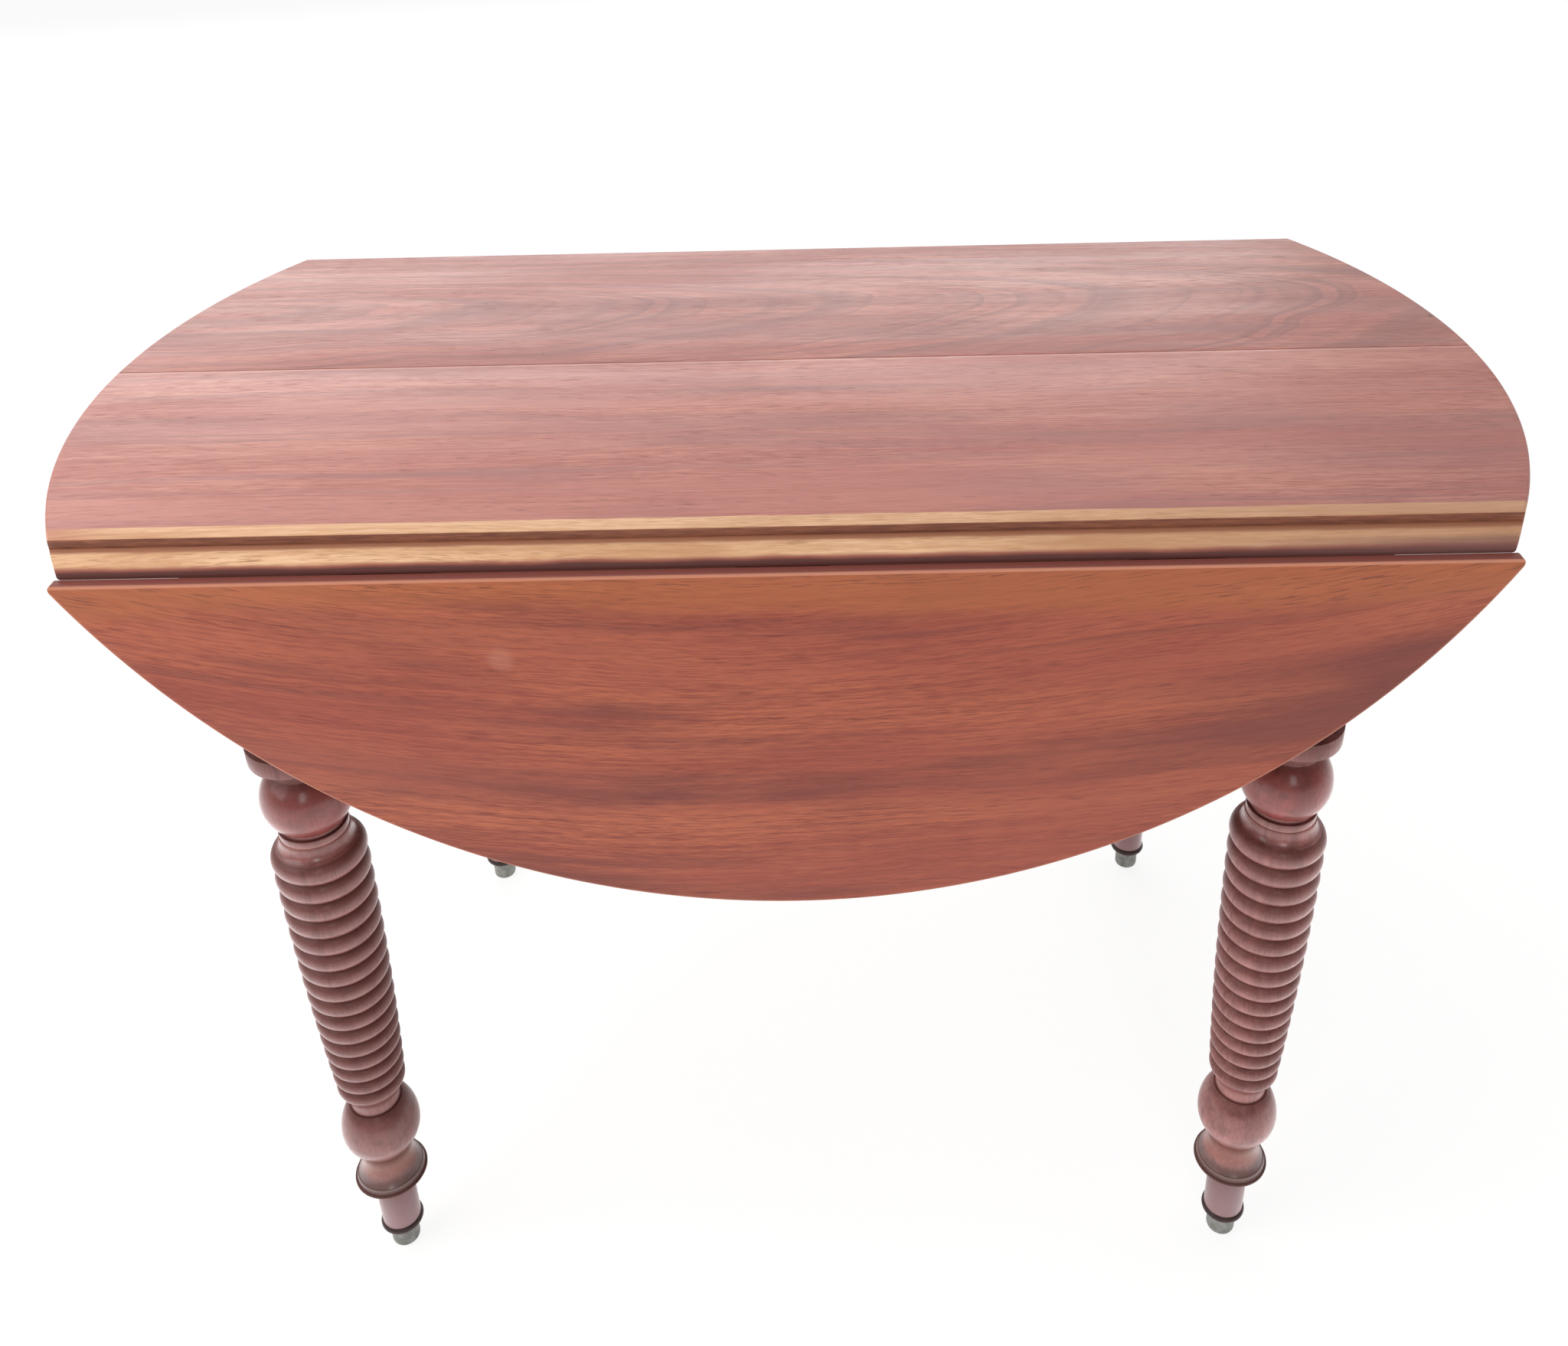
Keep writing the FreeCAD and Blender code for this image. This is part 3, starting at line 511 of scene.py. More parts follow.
def mahogany(recipe, grain, wood):
    """The colour of polished mahogany: fibres, rosy clouds, dark streaks, strands and pores."""
    tone = grain["Lines"] * 0.3 + grain["Fibres"] * 0.4 + grain["Blotch"] * 0.3
    zone = recipe.fade(grain["Blotch"], 0.1, 0.9, 0.3, 1.0)
    dark = recipe.fade(grain["Bands"], 0.35, 1.0) * zone
    return recipe.layered(
        wood["pale"],
        (recipe.fade(tone, 0.15, 0.85), wood["deep"]),
        (grain["Hue"] * 0.6, wood["rosy"]),
        (dark * wood["streaky"], wood["streak"]),
        (grain["Strands"] * 0.4, wood["streak"]),
        (grain["Pores"] * wood["porous"], PORE),
    )


def oval(recipe, place, middle, size):
    """A soft oval zone of a board, one at its middle and nothing beyond its half length and half width."""
    stretch = (1 / size[0], 1 / size[1], 0.0)
    shift = (-middle[0] / size[0], -middle[1] / size[1], 0.0)
    from_middle = {0: recipe.stretched(place, stretch, shift)}
    away = recipe.node("VectorMath", from_middle, operation="LENGTH")["Value"]
    return recipe.fade(away, 0.1, 1.0, 1.0, 0.0)


# Finishes

TOP_WOOD = {
    "pale": (0.570, 0.210, 0.145),
    "deep": (0.372, 0.101, 0.072),
    "rosy": (0.430, 0.127, 0.098),
    "streak": (0.290, 0.112, 0.102),
    "streaky": 0.5,
    "porous": 0.4,
}
LEAF_WOOD = {
    "pale": (0.380, 0.090, 0.034),
    "deep": (0.200, 0.029, 0.012),
    "rosy": (0.258, 0.041, 0.022),
    "streak": (0.148, 0.024, 0.014),
    "streaky": 0.95,
    "porous": 0.4,
}
LEG_WOOD = {
    "pale": (0.425, 0.164, 0.148),
    "deep": (0.318, 0.112, 0.102),
    "rosy": (0.364, 0.140, 0.135),
    "streak": (0.128, 0.038, 0.033),
    "streaky": 0.5,
    "porous": 0.3,
}
PORE = (0.09, 0.020, 0.014)
RAW_PALE = (0.25, 0.12, 0.066)
RAW_DEEP = (0.15, 0.066, 0.036)
# Dark grime in dents, also painted shade on the legs
GRIME_AND_SHADE = (0.070, 0.017, 0.012)

# What wear, light and dirt made of these colours. Some are painted light: shade low on the quarter-round
# and over the upper ball of a leg, and a highlight in part of the pale band at the top of a leaf.
TOP_TINTS = {
    "flame": (0.230, 0.075, 0.064),
    "seam_edge": (0.60, 0.30, 0.23),
    "bare_pale": (0.86, 0.545, 0.325),
    "bare_deep": (0.63, 0.325, 0.160),
    "bare_pores": (0.30, 0.12, 0.05),
    "bare_stain": (0.50, 0.225, 0.095),
    "bare_browned": (0.47, 0.235, 0.130),
    "fillet_pale": (0.28, 0.090, 0.038),
    "fillet_deep": (0.12, 0.030, 0.014),
    "roll_top": (0.38, 0.155, 0.082),
    # Painted shade on the lower quarter-round, and painted shadow at its foot
    "roll_low_shade": (0.30, 0.080, 0.048),
    "roll_foot_shadow": (0.10, 0.022, 0.016),
    "roll_darker_right": (0.20, 0.080, 0.070),
}
LEAF_TINTS = {
    "sunned_and_highlight": (0.385, 0.110, 0.026),
    "spots": (0.52, 0.23, 0.15),
    "rim_side": (0.14, 0.040, 0.026),
    "rim": (0.50, 0.200, 0.115),
    "lip": (0.215, 0.058, 0.045),
    "arris": (0.53, 0.215, 0.130),
}
LEG_TINTS = {
    # Painted shade over the upper ball
    "shaded_upper_ball": (0.84, 0.46, 0.44),
    "rubbed": (0.55, 0.290, 0.235),
    "ankle_ring": (0.030, 0.016, 0.014),
}
FRAME_TINTS = {
    "pale": (0.33, 0.19, 0.095),
    "deep": (0.20, 0.10, 0.048),
    "blotch": (0.13, 0.065, 0.035),
}

# Metals: pale and deep colour, how metallic and how rough
HINGE_IRON = ((0.16, 0.14, 0.125), (0.085, 0.06, 0.045), 0.8, 0.45)
SCREW_STEEL = ((0.34, 0.33, 0.31), (0.19, 0.17, 0.15), 0.9, 0.36)
FOOT_METAL = ((0.27, 0.268, 0.248), (0.17, 0.17, 0.153), 0.35, 0.5)

# Where the finishes change, in metres: the two ends of a soft edge, or of a band with its softness
TOP_PLACES = {
    "seam_edge": (-0.0034, -0.0012, 0.0008),
    "strip_edge": (0.2504, 0.2514),
    "strip_height": (0.7370, 0.7380),
    "outside": (0.2632, 0.2639),
    "fillet_top": (0.7388, 0.7396),
    "roll_top": (0.7326, 0.7330),
    "underside": (0.7184, 0.7182),
    "rubbed_off": (-0.50, -0.40),
    "browned": (-0.05, 0.50),
    "darker_right": (0.22, 0.46),
}
LEAF_PLACES = {
    "sunned_and_highlight": (0.680, 0.700),
    "outer_face": (0.2825, 0.2835),
    "inner_face": (0.2640, 0.2636),
    "rim": (0.5372, 0.5390),
    "rim_side": (0.5388, 0.5396),
    "lip": (0.7164, 0.7178),
    "arris_height": (0.7158, 0.7174, 0.0007),
    "arris_reach": (0.2838, 0.2846),
}
LEG_PLACES = {
    "left_to_right": (-0.1, 0.1),
    "shaded_upper_ball": (0.480, 0.521, 0.004),
    "ankle_ring": (0.0235, 0.0306, 0.0006),
}

# Ankle, neck and bell of a leg: the band of each, its tint and how strong. The ankle's pale grey-pink is
# painted floor light on a worn finish.
LEG_ZONES = (
    ((0.030, 0.085, 0.003), (0.275, 0.145, 0.152), 0.9),
    ((0.110, 0.121, 0.010), (0.25, 0.072, 0.034), 0.6),
    ((0.086, 0.098, 0.007), (0.130, 0.085, 0.076), 0.75),
)


def wood_surface(recipe, shader, grain, marks, base_roughness, depth):
    """Roughness and relief of polished wood; returns the roughness for further wear."""
    height = grain["Lines"] * 0.2 + grain["Fibres"] * 0.15 - grain["Pores"] * 0.6
    height = height - marks["Scratches"] * 0.4 - marks["Dents"] * 0.9
    relief(recipe, shader, height, depth, strength=0.35)
    return grain["Blotch"] * 0.1 + base_roughness + grain["Fibres"] * 0.05 + grain["Pores"] * 0.12


# Dark zones seen on the boards: middle, half length and half width in metres, and how strong
FIGURE = {
    "front": (
        ((0.010, -0.055), (0.170, 0.007), 0.6),
        ((0.030, -0.137), (0.120, 0.005), 0.5),
        ((0.180, -0.212), (0.130, 0.030), 0.6),
        ((0.330, -0.110), (0.120, 0.040), 0.5),
        ((0.430, -0.190), (0.190, 0.060), 0.6),
    ),
    "rear": (
        ((0.210, 0.016), (0.150, 0.020), 0.65),
        ((0.340, 0.050), (0.130, 0.016), 0.5),
    ),
}

# The flat-sawn board, and where across the table the heart line of its flames lies
FLAMED_SIDE = "rear"
HEART_LINE = 0.131


def board_figure(recipe, colour, side, place, grain):
    """The colour of a board with its flames, its dark zones and the pale edge of the seam."""
    if side == FLAMED_SIDE:
        from_heart = recipe.stretched(place, (1.0, 1.0, 1.0), (0.0, -HEART_LINE, 0.0))
        flame = recipe.group(FLAME, from_heart)
        colour = recipe.blend(flame["Flame"] * 0.62, colour, TOP_TINTS["flame"])
    banded = recipe.fade(grain["Bands"], 0.0, 0.8, 0.5, 1.0)
    for middle, size, share in FIGURE[side]:
        zone = oval(recipe, place, middle, size) * banded
        colour = recipe.blend(zone * share, colour, TOP_WOOD["streak"])
    seam_edge = recipe.band(recipe.split(place)[1], *TOP_PLACES["seam_edge"])
    return recipe.blend(seam_edge * 0.4, colour, TOP_TINTS["seam_edge"])


def bare_wood(recipe, tone, pores, place, x, wobble):
    """Wood that has lost its polish, with stains, and browned towards the right of the table."""
    stained = recipe.noise(place, (6.0, 45.0, 45.0), detail=3.0, roughness=0.6)
    browned = recipe.fade(x + wobble * 0.3, *TOP_PLACES["browned"], 0.0, 0.6)
    return recipe.layered(
        TOP_TINTS["bare_pale"],
        (tone, TOP_TINTS["bare_deep"]),
        (pores * 0.5, TOP_TINTS["bare_pores"]),
        (recipe.fade(stained, 0.42, 0.70, 0.0, 0.6), TOP_TINTS["bare_stain"]),
        (browned, TOP_TINTS["bare_browned"]),
    )


def roll_finish(recipe, angle, x, bare):
    """The quarter-round by the angle from its top: bare, its pale band partly a painted highlight, then
    painted shade down to a painted shadow at its foot, and darker on its lower half at the right.
    """
    at_right = recipe.fade(x, *TOP_PLACES["darker_right"], 0.0, 0.7)
    return recipe.layered(
        TOP_TINTS["roll_top"],
        # Worn bare wood, its pale band partly a painted highlight
        (recipe.fade(angle, 0.24, 0.42), bare),
        # Painted shade low on the quarter-round, then painted shadow at its foot
        (recipe.fade(angle, 0.95, 1.20), TOP_TINTS["roll_low_shade"]),
        (recipe.fade(angle, 1.15, 1.32), TOP_TINTS["roll_foot_shadow"]),
        (at_right * recipe.fade(angle, 0.55, 0.95), TOP_TINTS["roll_darker_right"]),
    )


def top_material(side):
    """A fixed board: figured face, bare strip at the front, fillet, quarter-round and raw underside."""
    material, recipe, shader = new_material(f"polished mahogany {side} board")
    place = recipe.place()
    x, y, z = recipe.split(place)
    grain, marks = wood_maps(recipe, place)

    wobble = recipe.noise(place, (24.0, 60.0, 60.0), detail=3.0) - 0.5
    tone = grain["Lines"] * 0.45 + grain["Fibres"] * 0.55
    bare = bare_wood(recipe, tone, grain["Pores"], place, x, wobble)
    strip_edge = y * -1.0 + wobble * 0.0022
    on_face = recipe.fade(z, *TOP_PLACES["strip_height"])
    strip = recipe.fade(strip_edge, *TOP_PLACES["strip_edge"]) * on_face
    rubbed_off = recipe.fade(x + wobble * 0.1, *TOP_PLACES["rubbed_off"], 0.45, 0.95)

    across = recipe.maths("ABSOLUTE", y)
    outside = recipe.fade(across, *TOP_PLACES["outside"])
    on_fillet = outside * recipe.fade(z, *TOP_PLACES["fillet_top"], 1.0, 0.0)
    fillet = recipe.blend(tone, TOP_TINTS["fillet_pale"], TOP_TINTS["fillet_deep"])
    on_roll = outside * recipe.fade(z, *TOP_PLACES["roll_top"], 1.0, 0.0)
    rise = z - PIN_HEIGHT * MM
    reach = across - HALF_WIDTH * MM
    angle = recipe.maths("ARCTAN2", reach, rise) + wobble * 0.22

    worn = recipe.maths("MAXIMUM", strip, outside)
    colour = recipe.layered(
        board_figure(recipe, mahogany(recipe, grain, TOP_WOOD), side, place, grain),
        (strip * rubbed_off, bare),
        (on_fillet, fillet),
        (on_roll, roll_finish(recipe, angle, x, bare)),
        (recipe.fade(z, *TOP_PLACES["underside"]), recipe.blend(grain["Lines"], RAW_PALE, RAW_DEEP)),
        (marks["Dents"] * (1.0 - worn) * 0.7, GRIME_AND_SHADE),
    )
    recipe.feed(shader["Base Color"], colour)

    rough = wood_surface(recipe, shader, grain, marks, base_roughness=0.34, depth=0.00025)
    recipe.feed(shader["Roughness"], rough + worn * 0.18)
    shader["IOR"].default_value = 1.5
    return material


def leaf_material():
    """A hanging leaf: bowed grain, a sun-faded band under the top that is partly a painted highlight, with
    a rubbed rim and lip and a raw inner face.
    """
    material, recipe, shader = new_material("polished mahogany leaf")
    place = recipe.place()
    x, y, z = recipe.split(place)
    sag = x * x * 0.25
    along = recipe.vector(x, z - sag, y)
    grain, marks = wood_maps(recipe, along)

    ragged = z + (grain["Hue"] - 0.5) * 0.02
    # Sun-faded band at the top of the leaf, partly a painted highlight
    sunned_and_highlight = recipe.fade(ragged, *LEAF_PLACES["sunned_and_highlight"])
    reach = recipe.maths("ABSOLUTE", y)
    drop = (PIN_HEIGHT + HALF_WIDTH) * MM - z
    radius = recipe.maths("SQRT", x * x + drop * drop)
    outer = recipe.fade(reach, *LEAF_PLACES["outer_face"])
    rim = outer * recipe.fade(radius, *LEAF_PLACES["rim"])
    rim_side = recipe.fade(radius, *LEAF_PLACES["rim_side"])
    at_edge = recipe.band(z, *LEAF_PLACES["arris_height"])
    arris = at_edge * recipe.fade(reach, *LEAF_PLACES["arris_reach"])
    inside = recipe.fade(reach, *LEAF_PLACES["inner_face"])
    colour = recipe.layered(
        mahogany(recipe, grain, LEAF_WOOD),
        (sunned_and_highlight * 0.5, LEAF_TINTS["sunned_and_highlight"]),
        (sunned_and_highlight * grain["Pores"] * 0.5, PORE),
        (marks["Spots"] * 0.22, LEAF_TINTS["spots"]),
        (rim_side * 0.6, LEAF_TINTS["rim_side"]),
        (rim * 0.5, LEAF_TINTS["rim"]),
        (recipe.fade(z, *LEAF_PLACES["lip"]), LEAF_TINTS["lip"]),
        (arris * 0.75, LEAF_TINTS["arris"]),
        (inside, recipe.blend(grain["Lines"], RAW_PALE, RAW_DEEP)),
        (marks["Dents"] * 0.7, GRIME_AND_SHADE),
    )
    recipe.feed(shader["Base Color"], colour)

    rough = wood_surface(recipe, shader, grain, marks, base_roughness=0.35, depth=0.00025)
    recipe.feed(shader["Roughness"], rough)
    shader["IOR"].default_value = 1.38
    return material


def leg_material():
    """A turned leg: patchy polish, grime in the hollows with painted shade down the slopes below them,
    painted shade over the balls and on the legs at the left, a pale ankle of painted floor light, rubbed
    arrises, and a dark ring over the foot.
    """
    material, recipe, shader = new_material("polished mahogany leg")
    place = recipe.place()
    x, y, z = recipe.split(place)
    upright = recipe.vector(z, x, y)
    grain, marks = wood_maps(recipe, upright)

    # Painted shade: the legs at the left of the table darker
    left_leg_shade = recipe.fade(x, *LEG_PLACES["left_to_right"], 0.45, 0.0)
    patch = recipe.noise(place, (75.0, 75.0, 120.0), detail=2.0, roughness=0.6)
    colour = recipe.layered(
        mahogany(recipe, grain, LEG_WOOD),
        (left_leg_shade, LEG_WOOD["streak"]),
        (recipe.fade(patch, 0.45, 0.72, 0.0, 0.45), LEG_WOOD["streak"]),
    )
    # Painted shade: the upper ball darker and redder than the rest of the leg
    shaded_upper_ball = recipe.band(z, *LEG_PLACES["shaded_upper_ball"])
    colour = recipe.blend(shaded_upper_ball, colour, LEG_TINTS["shaded_upper_ball"], "MULTIPLY")

    # Above zero: grime in the hollows with painted shade; below zero: rubbed arrises
    wear = recipe.node("Attribute", attribute_name="wear")["Fac"]
    hollow = recipe.maths("MAXIMUM", wear, 0.0)
    rubbed = recipe.maths("MAXIMUM", wear * -1.0, 0.0)
    # Painted shade: the grime and shade stronger on the legs at the left
    dirt_and_shade = hollow * recipe.fade(x, *LEG_PLACES["left_to_right"], 0.8, 0.66)
    ankle_ring = recipe.band(z, *LEG_PLACES["ankle_ring"])
    colour = recipe.layered(
        colour,
        # The ankle's band is painted floor light
        *[(recipe.band(z, *zone) * share, tint) for zone, tint, share in LEG_ZONES],
        (dirt_and_shade, GRIME_AND_SHADE),
        (rubbed * 0.5, LEG_TINTS["rubbed"]),
        (ankle_ring * 0.95, LEG_TINTS["ankle_ring"]),
    )
    recipe.feed(shader["Base Color"], colour)

    rough = wood_surface(recipe, shader, grain, marks, base_roughness=0.30, depth=0.0001)
    recipe.feed(shader["Roughness"], rough + hollow * 0.25)
    shader["IOR"].default_value = 1.35
    coat = recipe.fade(hollow, 0.2, 0.9, 0.65, 0.1) * (1.0 - ankle_ring)
    recipe.feed(shader["Coat Weight"], coat)
    shader["Coat Roughness"].default_value = 0.2
    return material


def lengthwise(recipe, crosswise):
    """Places with the grain along X; a piece that lies crosswise has it along Y."""
    place = recipe.place()
    if not crosswise:
        return place
    x, y, z = recipe.split(place)
    return recipe.vector(y, x, z)


def apron_material(name, crosswise):
    """Polished rails of the frame."""
    material, recipe, shader = new_material(name)
    place = lengthwise(recipe, crosswise)
    grain, marks = wood_maps(recipe, place)
    recipe.feed(shader["Base Color"], mahogany(recipe, grain, LEG_WOOD))
    rough = wood_surface(recipe, shader, grain, marks, base_roughness=0.38, depth=0.0002)
    recipe.feed(shader["Roughness"], rough)
    return material


def frame_wood_material(name, crosswise):
    """Plain unpolished wood of the hidden pieces."""
    material, recipe, shader = new_material(name)
    place = lengthwise(recipe, crosswise)
    grain = recipe.group(GRAIN, place)
    colour = recipe.layered(
        FRAME_TINTS["pale"],
        (grain["Lines"], FRAME_TINTS["deep"]),
        (grain["Blotch"] * 0.4, FRAME_TINTS["blotch"]),
    )
    recipe.feed(shader["Base Color"], colour)
    recipe.feed(shader["Roughness"], grain["Blotch"] * 0.15 + 0.6)
    relief(recipe, shader, grain["Lines"], depth=0.0003, strength=0.4)
    return material


def metal_material(name, pale, deep, metallic, roughness):
    """Old metal, clouded between two colours."""
    material, recipe, shader = new_material(name)
    place = recipe.place()
    cloud = recipe.noise(place, (160.0, 160.0, 160.0), detail=4.0, roughness=0.65)
    patch = recipe.noise(place, (45.0, 45.0, 45.0), detail=3.0, roughness=0.6)
    tone = recipe.fade(cloud * 0.6 + patch * 0.4, 0.36, 0.64)
    recipe.feed(shader["Base Color"], recipe.blend(tone, pale, deep))
    shader["Metallic"].default_value = metallic
    recipe.feed(shader["Roughness"], tone * 0.18 + roughness)
    relief(recipe, shader, cloud, depth=0.0002, strength=0.35)
    return material


TOP_FINISHES = {side: top_material(side) for side in SIDES}
SLOT_FINISHES = {
    "mahogany_top": TOP_FINISHES["front"],
    "mahogany_leaf": leaf_material(),
    "mahogany_leg": leg_material(),
    "mahogany_apron": apron_material("apron mahogany", crosswise=False),
    "frame_wood": frame_wood_material("plain frame wood", crosswise=False),
    "hinge_iron": metal_material("old hinge iron", *HINGE_IRON),
    "screw_steel": metal_material("screw steel", *SCREW_STEEL),
    "foot_metal": metal_material("dull foot metal", *FOOT_METAL),
}

# Pieces that lie crosswise, by the start of their names, and their finishes
CROSSWISE_PIECES = ("apron_left", "apron_right", "batten_", "loper_front", "loper_rear", "glue_blocks")
CROSSWISE_FINISHES = {
    "mahogany_apron": apron_material("apron mahogany crosswise", crosswise=True),
    "frame_wood": frame_wood_material("plain frame wood crosswise", crosswise=True),
}


# Top and leaves

def round_disc():
    """The whole round top as a disc in the hinge frame's heights, its rim rounded."""
    disc = bmesh.new()
    bmesh.ops.create_cone(
        disc,
        cap_ends=True,
        segments=RIM_STEPS,
        radius1=TOP_RADIUS,
        radius2=TOP_RADIUS,
        depth=THICKNESS + 2 * SPARE,
    )
    rims = [edge for edge in disc.edges if abs(edge.verts[0].co.z - edge.verts[1].co.z) < SPARE]
    round_edges(disc, rims, RIM_ROUND, segments=4)
    move(disc, (0, -HALF_WIDTH, THICKNESS / 2 - PIN_RISE))
    return disc


def board_outline():
    """Section of a fixed board: square at the seam, fillet and quarter-round at the hinge."""
    seam = SEAM_GAP - HALF_WIDTH
    quarter = math.sqrt(0.5)
    outline = Outline(seam, -PIN_RISE)
    outline.line(RULE_RADIUS, -PIN_RISE)
    outline.line(RULE_RADIUS, 0)
    outline.arc((RULE_RADIUS * quarter, RULE_RADIUS * quarter), (0, RULE_RADIUS), steps=14)
    outline.line(0, FACE - ARRIS_ROUND)
    near = ARRIS_ROUND * (1 - quarter)
    outline.arc((-near, FACE - near), (-ARRIS_ROUND, FACE), steps=4)
    outline.line(seam + SEAM_ROUND, FACE)
    near = SEAM_ROUND * (1 - quarter)
    outline.arc((seam + near, FACE - near), (seam, FACE - SEAM_ROUND), steps=4)
    outline.close()
    return outline


def leaf_outline():
    """Section of a leaf: the cove under its lip, in the raised position."""
    cove = RULE_RADIUS + RULE_CLEARANCE
    heel = math.sqrt(cove ** 2 - PIN_RISE ** 2)
    lip = math.sqrt(cove ** 2 - LEAF_GAP ** 2)
    quarter = math.sqrt(0.5)
    outline = Outline(LEAF_GAP, lip)
    outline.arc((cove * quarter, cove * quarter), (heel, -PIN_RISE), steps=14)
    outline.line(TOP_RADIUS, -PIN_RISE)
    outline.line(TOP_RADIUS, FACE)
    outline.line(LEAF_GAP + ARRIS_ROUND, FACE)
    near = ARRIS_ROUND * (1 - quarter)
    outline.arc((LEAF_GAP + near, FACE - near), (LEAF_GAP, FACE - ARRIS_ROUND), steps=4)
    outline.close()
    return outline


# Beds of a hinge, measured from its pin: half length, reach and heights
BED_HALF = 30.3
BED_REACH = 34.3
BED_MARGIN = 1
BED_LOW = -1.5
PLATE_TOP = 1.5
FLAP_TOP = -0.2
KNUCKLE_ROOM = 3.8


def hinge_beds():
    """What is taken out of a board for its three hinges."""
    beds = []
    for place in HINGE_PLACES:
        left = place - BED_HALF
        right = place + BED_HALF
        beds.append(block((left, -BED_REACH, BED_LOW), (right, 0, PLATE_TOP)))
        beds.append(block((left, -KNUCKLE_ROOM, BED_LOW), (right, KNUCKLE_ROOM, KNUCKLE_ROOM)))
        beds.append(block((left, 0, BED_LOW), (right, RULE_RADIUS + BED_MARGIN, FLAP_TOP)))
    return joined(beds)


def set_at_hinge(mesh, side, hanging):
    """Brings a mesh from the hinge frame to its side of the table, leaves turned down."""
    if hanging:
        turn(mesh, Matrix.Rotation(-math.pi / 2, 3, "X"))
    move(mesh, (0, HALF_WIDTH, PIN_HEIGHT))
    turn(mesh, Matrix.Rotation(math.radians(SIDES[side]), 3, "Z"))


def corner_form():
    """What a leaf keeps at the ends of its hinge edge: blunt corners, rounded by wear."""
    tip = math.sqrt(TOP_RADIUS ** 2 - HALF_WIDTH ** 2)
    reach = tip - CORNER_TRIM
    near = LEAF_GAP - CORNER_MARGIN
    form = block((-reach, near, -THICKNESS), (reach, TOP_RADIUS, 2 * THICKNESS))
    upright = [edge for edge in form.edges if edge.calc_length() < reach]
    corners = [edge for edge in upright if all(vert.co.y < 1 for vert in edge.verts)]
    round_edges(form, corners, CORNER_ROUND, segments=6)
    return form


# The bars that boards and leaves are cut from are longer than the table
BAR_LENGTH = 2 * TOP_RADIUS + 40

for side in SIDES:
    board = carved(moulding(board_outline(), BAR_LENGTH), round_disc(), "INTERSECT")
    board = carved(board, hinge_beds(), "DIFFERENCE")
    set_at_hinge(board, side, hanging=False)
    board_name = f"top_board_{side}"
    finished(f"{board_name}_polished", board, "frame", "mahogany_top", [board_name], TOP_FINISHES[side])

    leaf = carved(moulding(leaf_outline(), BAR_LENGTH), round_disc(), "INTERSECT")
    leaf = carved(leaf, corner_form(), "INTERSECT")
    set_at_hinge(leaf, side, hanging=True)
    leaf_name = f"leaf_{side}"
    finished(f"{leaf_name}_polished", leaf, f"{side}_leaf", "mahogany_leaf", [leaf_name])


# Legs and feet

# Sizes of a leg from the floor up; the name of a turned form alone is its radius
FERRULE_RADIUS = 11.8
FERRULE_HEIGHT = 23.5
FERRULE_WALL = 1.5
FERRULE_FLOOR = 2.5
FERRULE_BEND = 4
SPIGOT_PLAY = 0.1
SPIGOT = FERRULE_RADIUS - FERRULE_WALL - SPIGOT_PLAY
SPIGOT_LOW = FERRULE_FLOOR + SPIGOT_PLAY
ANKLE_RING_FOOT = 15.4
ANKLE_RING = 18
ANKLE_RING_HEIGHT = 7
ANKLE = 16.2
BELL_LOW = 88
BELL = 30
BELL_EDGE = 1.5
BELL_BAND = 27.4
BELL_BAND_HEIGHT = 7.5
BELL_STEP = 0.8
BELL_RISE = 20
NECK = 20.5
LOWER_BALL_LOW = 124
LOWER_BALL = 31.8
LOWER_BALL_RISE = 28.5
LOWER_BALL_TOP = 21.5
LOWER_BALL_LEDGE = 1.4
COLUMN_LOW = 194.2
RING_COUNT = 16
RING_DEPTH = 4.3
LAST_RING = 27.3
TOP_RING = 35.1
TOP_RING_CREST = 0.45
TOP_RING_ARRIS = 29.8
TOP_RING_LEDGE = 0.7
COVE_RISE = 11.5
FILLET = 25.4
FILLET_LIP = 0.6
FILLET_HEIGHT = 6.5
GROOVE = 23.4
GROOVE_MIDDLE = 8.3
UNDER_BALL_RISE = 21.5
BALL_SEAT = 24.4
UPPER_BALL = 33.2
BALL_CROWN = 22
OVER_BALL_RISE = 65.9
CROWN_NECK_RISE = 10
FLANGE_RISE = 13.5
FLANGE = 34.6
FLANGE_EDGE = 1.8
FLANGE_HEIGHT = 15
CAP = 30
CAP_RISE = 29
SHOULDER = 34
SUNK_IN_BLOCK = 2
BLOCK_EASE = 1.2

# How far grime with its painted shade, the painted shade over the balls and the rubbing reach under and
# over their marks, and how strong the shade over the balls is
DIRT_AND_SHADE_REACH = (13.5, 1.6)
BALL_SHADE_REACH = (32.0, 2.0)
RUB_REACH = (0.6, 0.6)
BALL_SHADE_SHARE = 0.6
JUST_OVER = 1


def half_height(ball, end):
    """How far above or below its middle a ball has narrowed to the radius end."""
    return math.sqrt(ball ** 2 - end ** 2)


LOWER_BALL_MIDDLE = LOWER_BALL_LOW + half_height(LOWER_BALL, NECK)
LOWER_CROWN = LOWER_BALL_MIDDLE + LOWER_BALL_RISE
UPPER_CROWN = BLOCK_LOW - OVER_BALL_RISE
BALL_HIGH = half_height(UPPER_BALL, BALL_SEAT) + half_height(UPPER_BALL, BALL_CROWN)
COLUMN_HIGH = UPPER_CROWN - BALL_HIGH - UNDER_BALL_RISE
FILLET_LOW = COLUMN_HIGH + COVE_RISE


def ring_radius(share):
    """Radius of a ring by its share of the way down; the rings narrow faster the lower they lie."""
    swell = 1.8
    return TOP_RING - (TOP_RING - LAST_RING) * share ** swell


def ring_fall(share):
    """How far down the edge of a ring lies; the rings crowd a little towards the bottom."""
    crowding = 0.128
    return share * (1 + crowding) - crowding * share ** 2


def nearness(height, marks, under, over):
    """One at the height of a mark, fading out so far under it and so far over it."""
    shares = [(mark - height) / under if height < mark else (height - mark) / over for mark in marks]
    return max(0.0, 1.0 - min(shares))


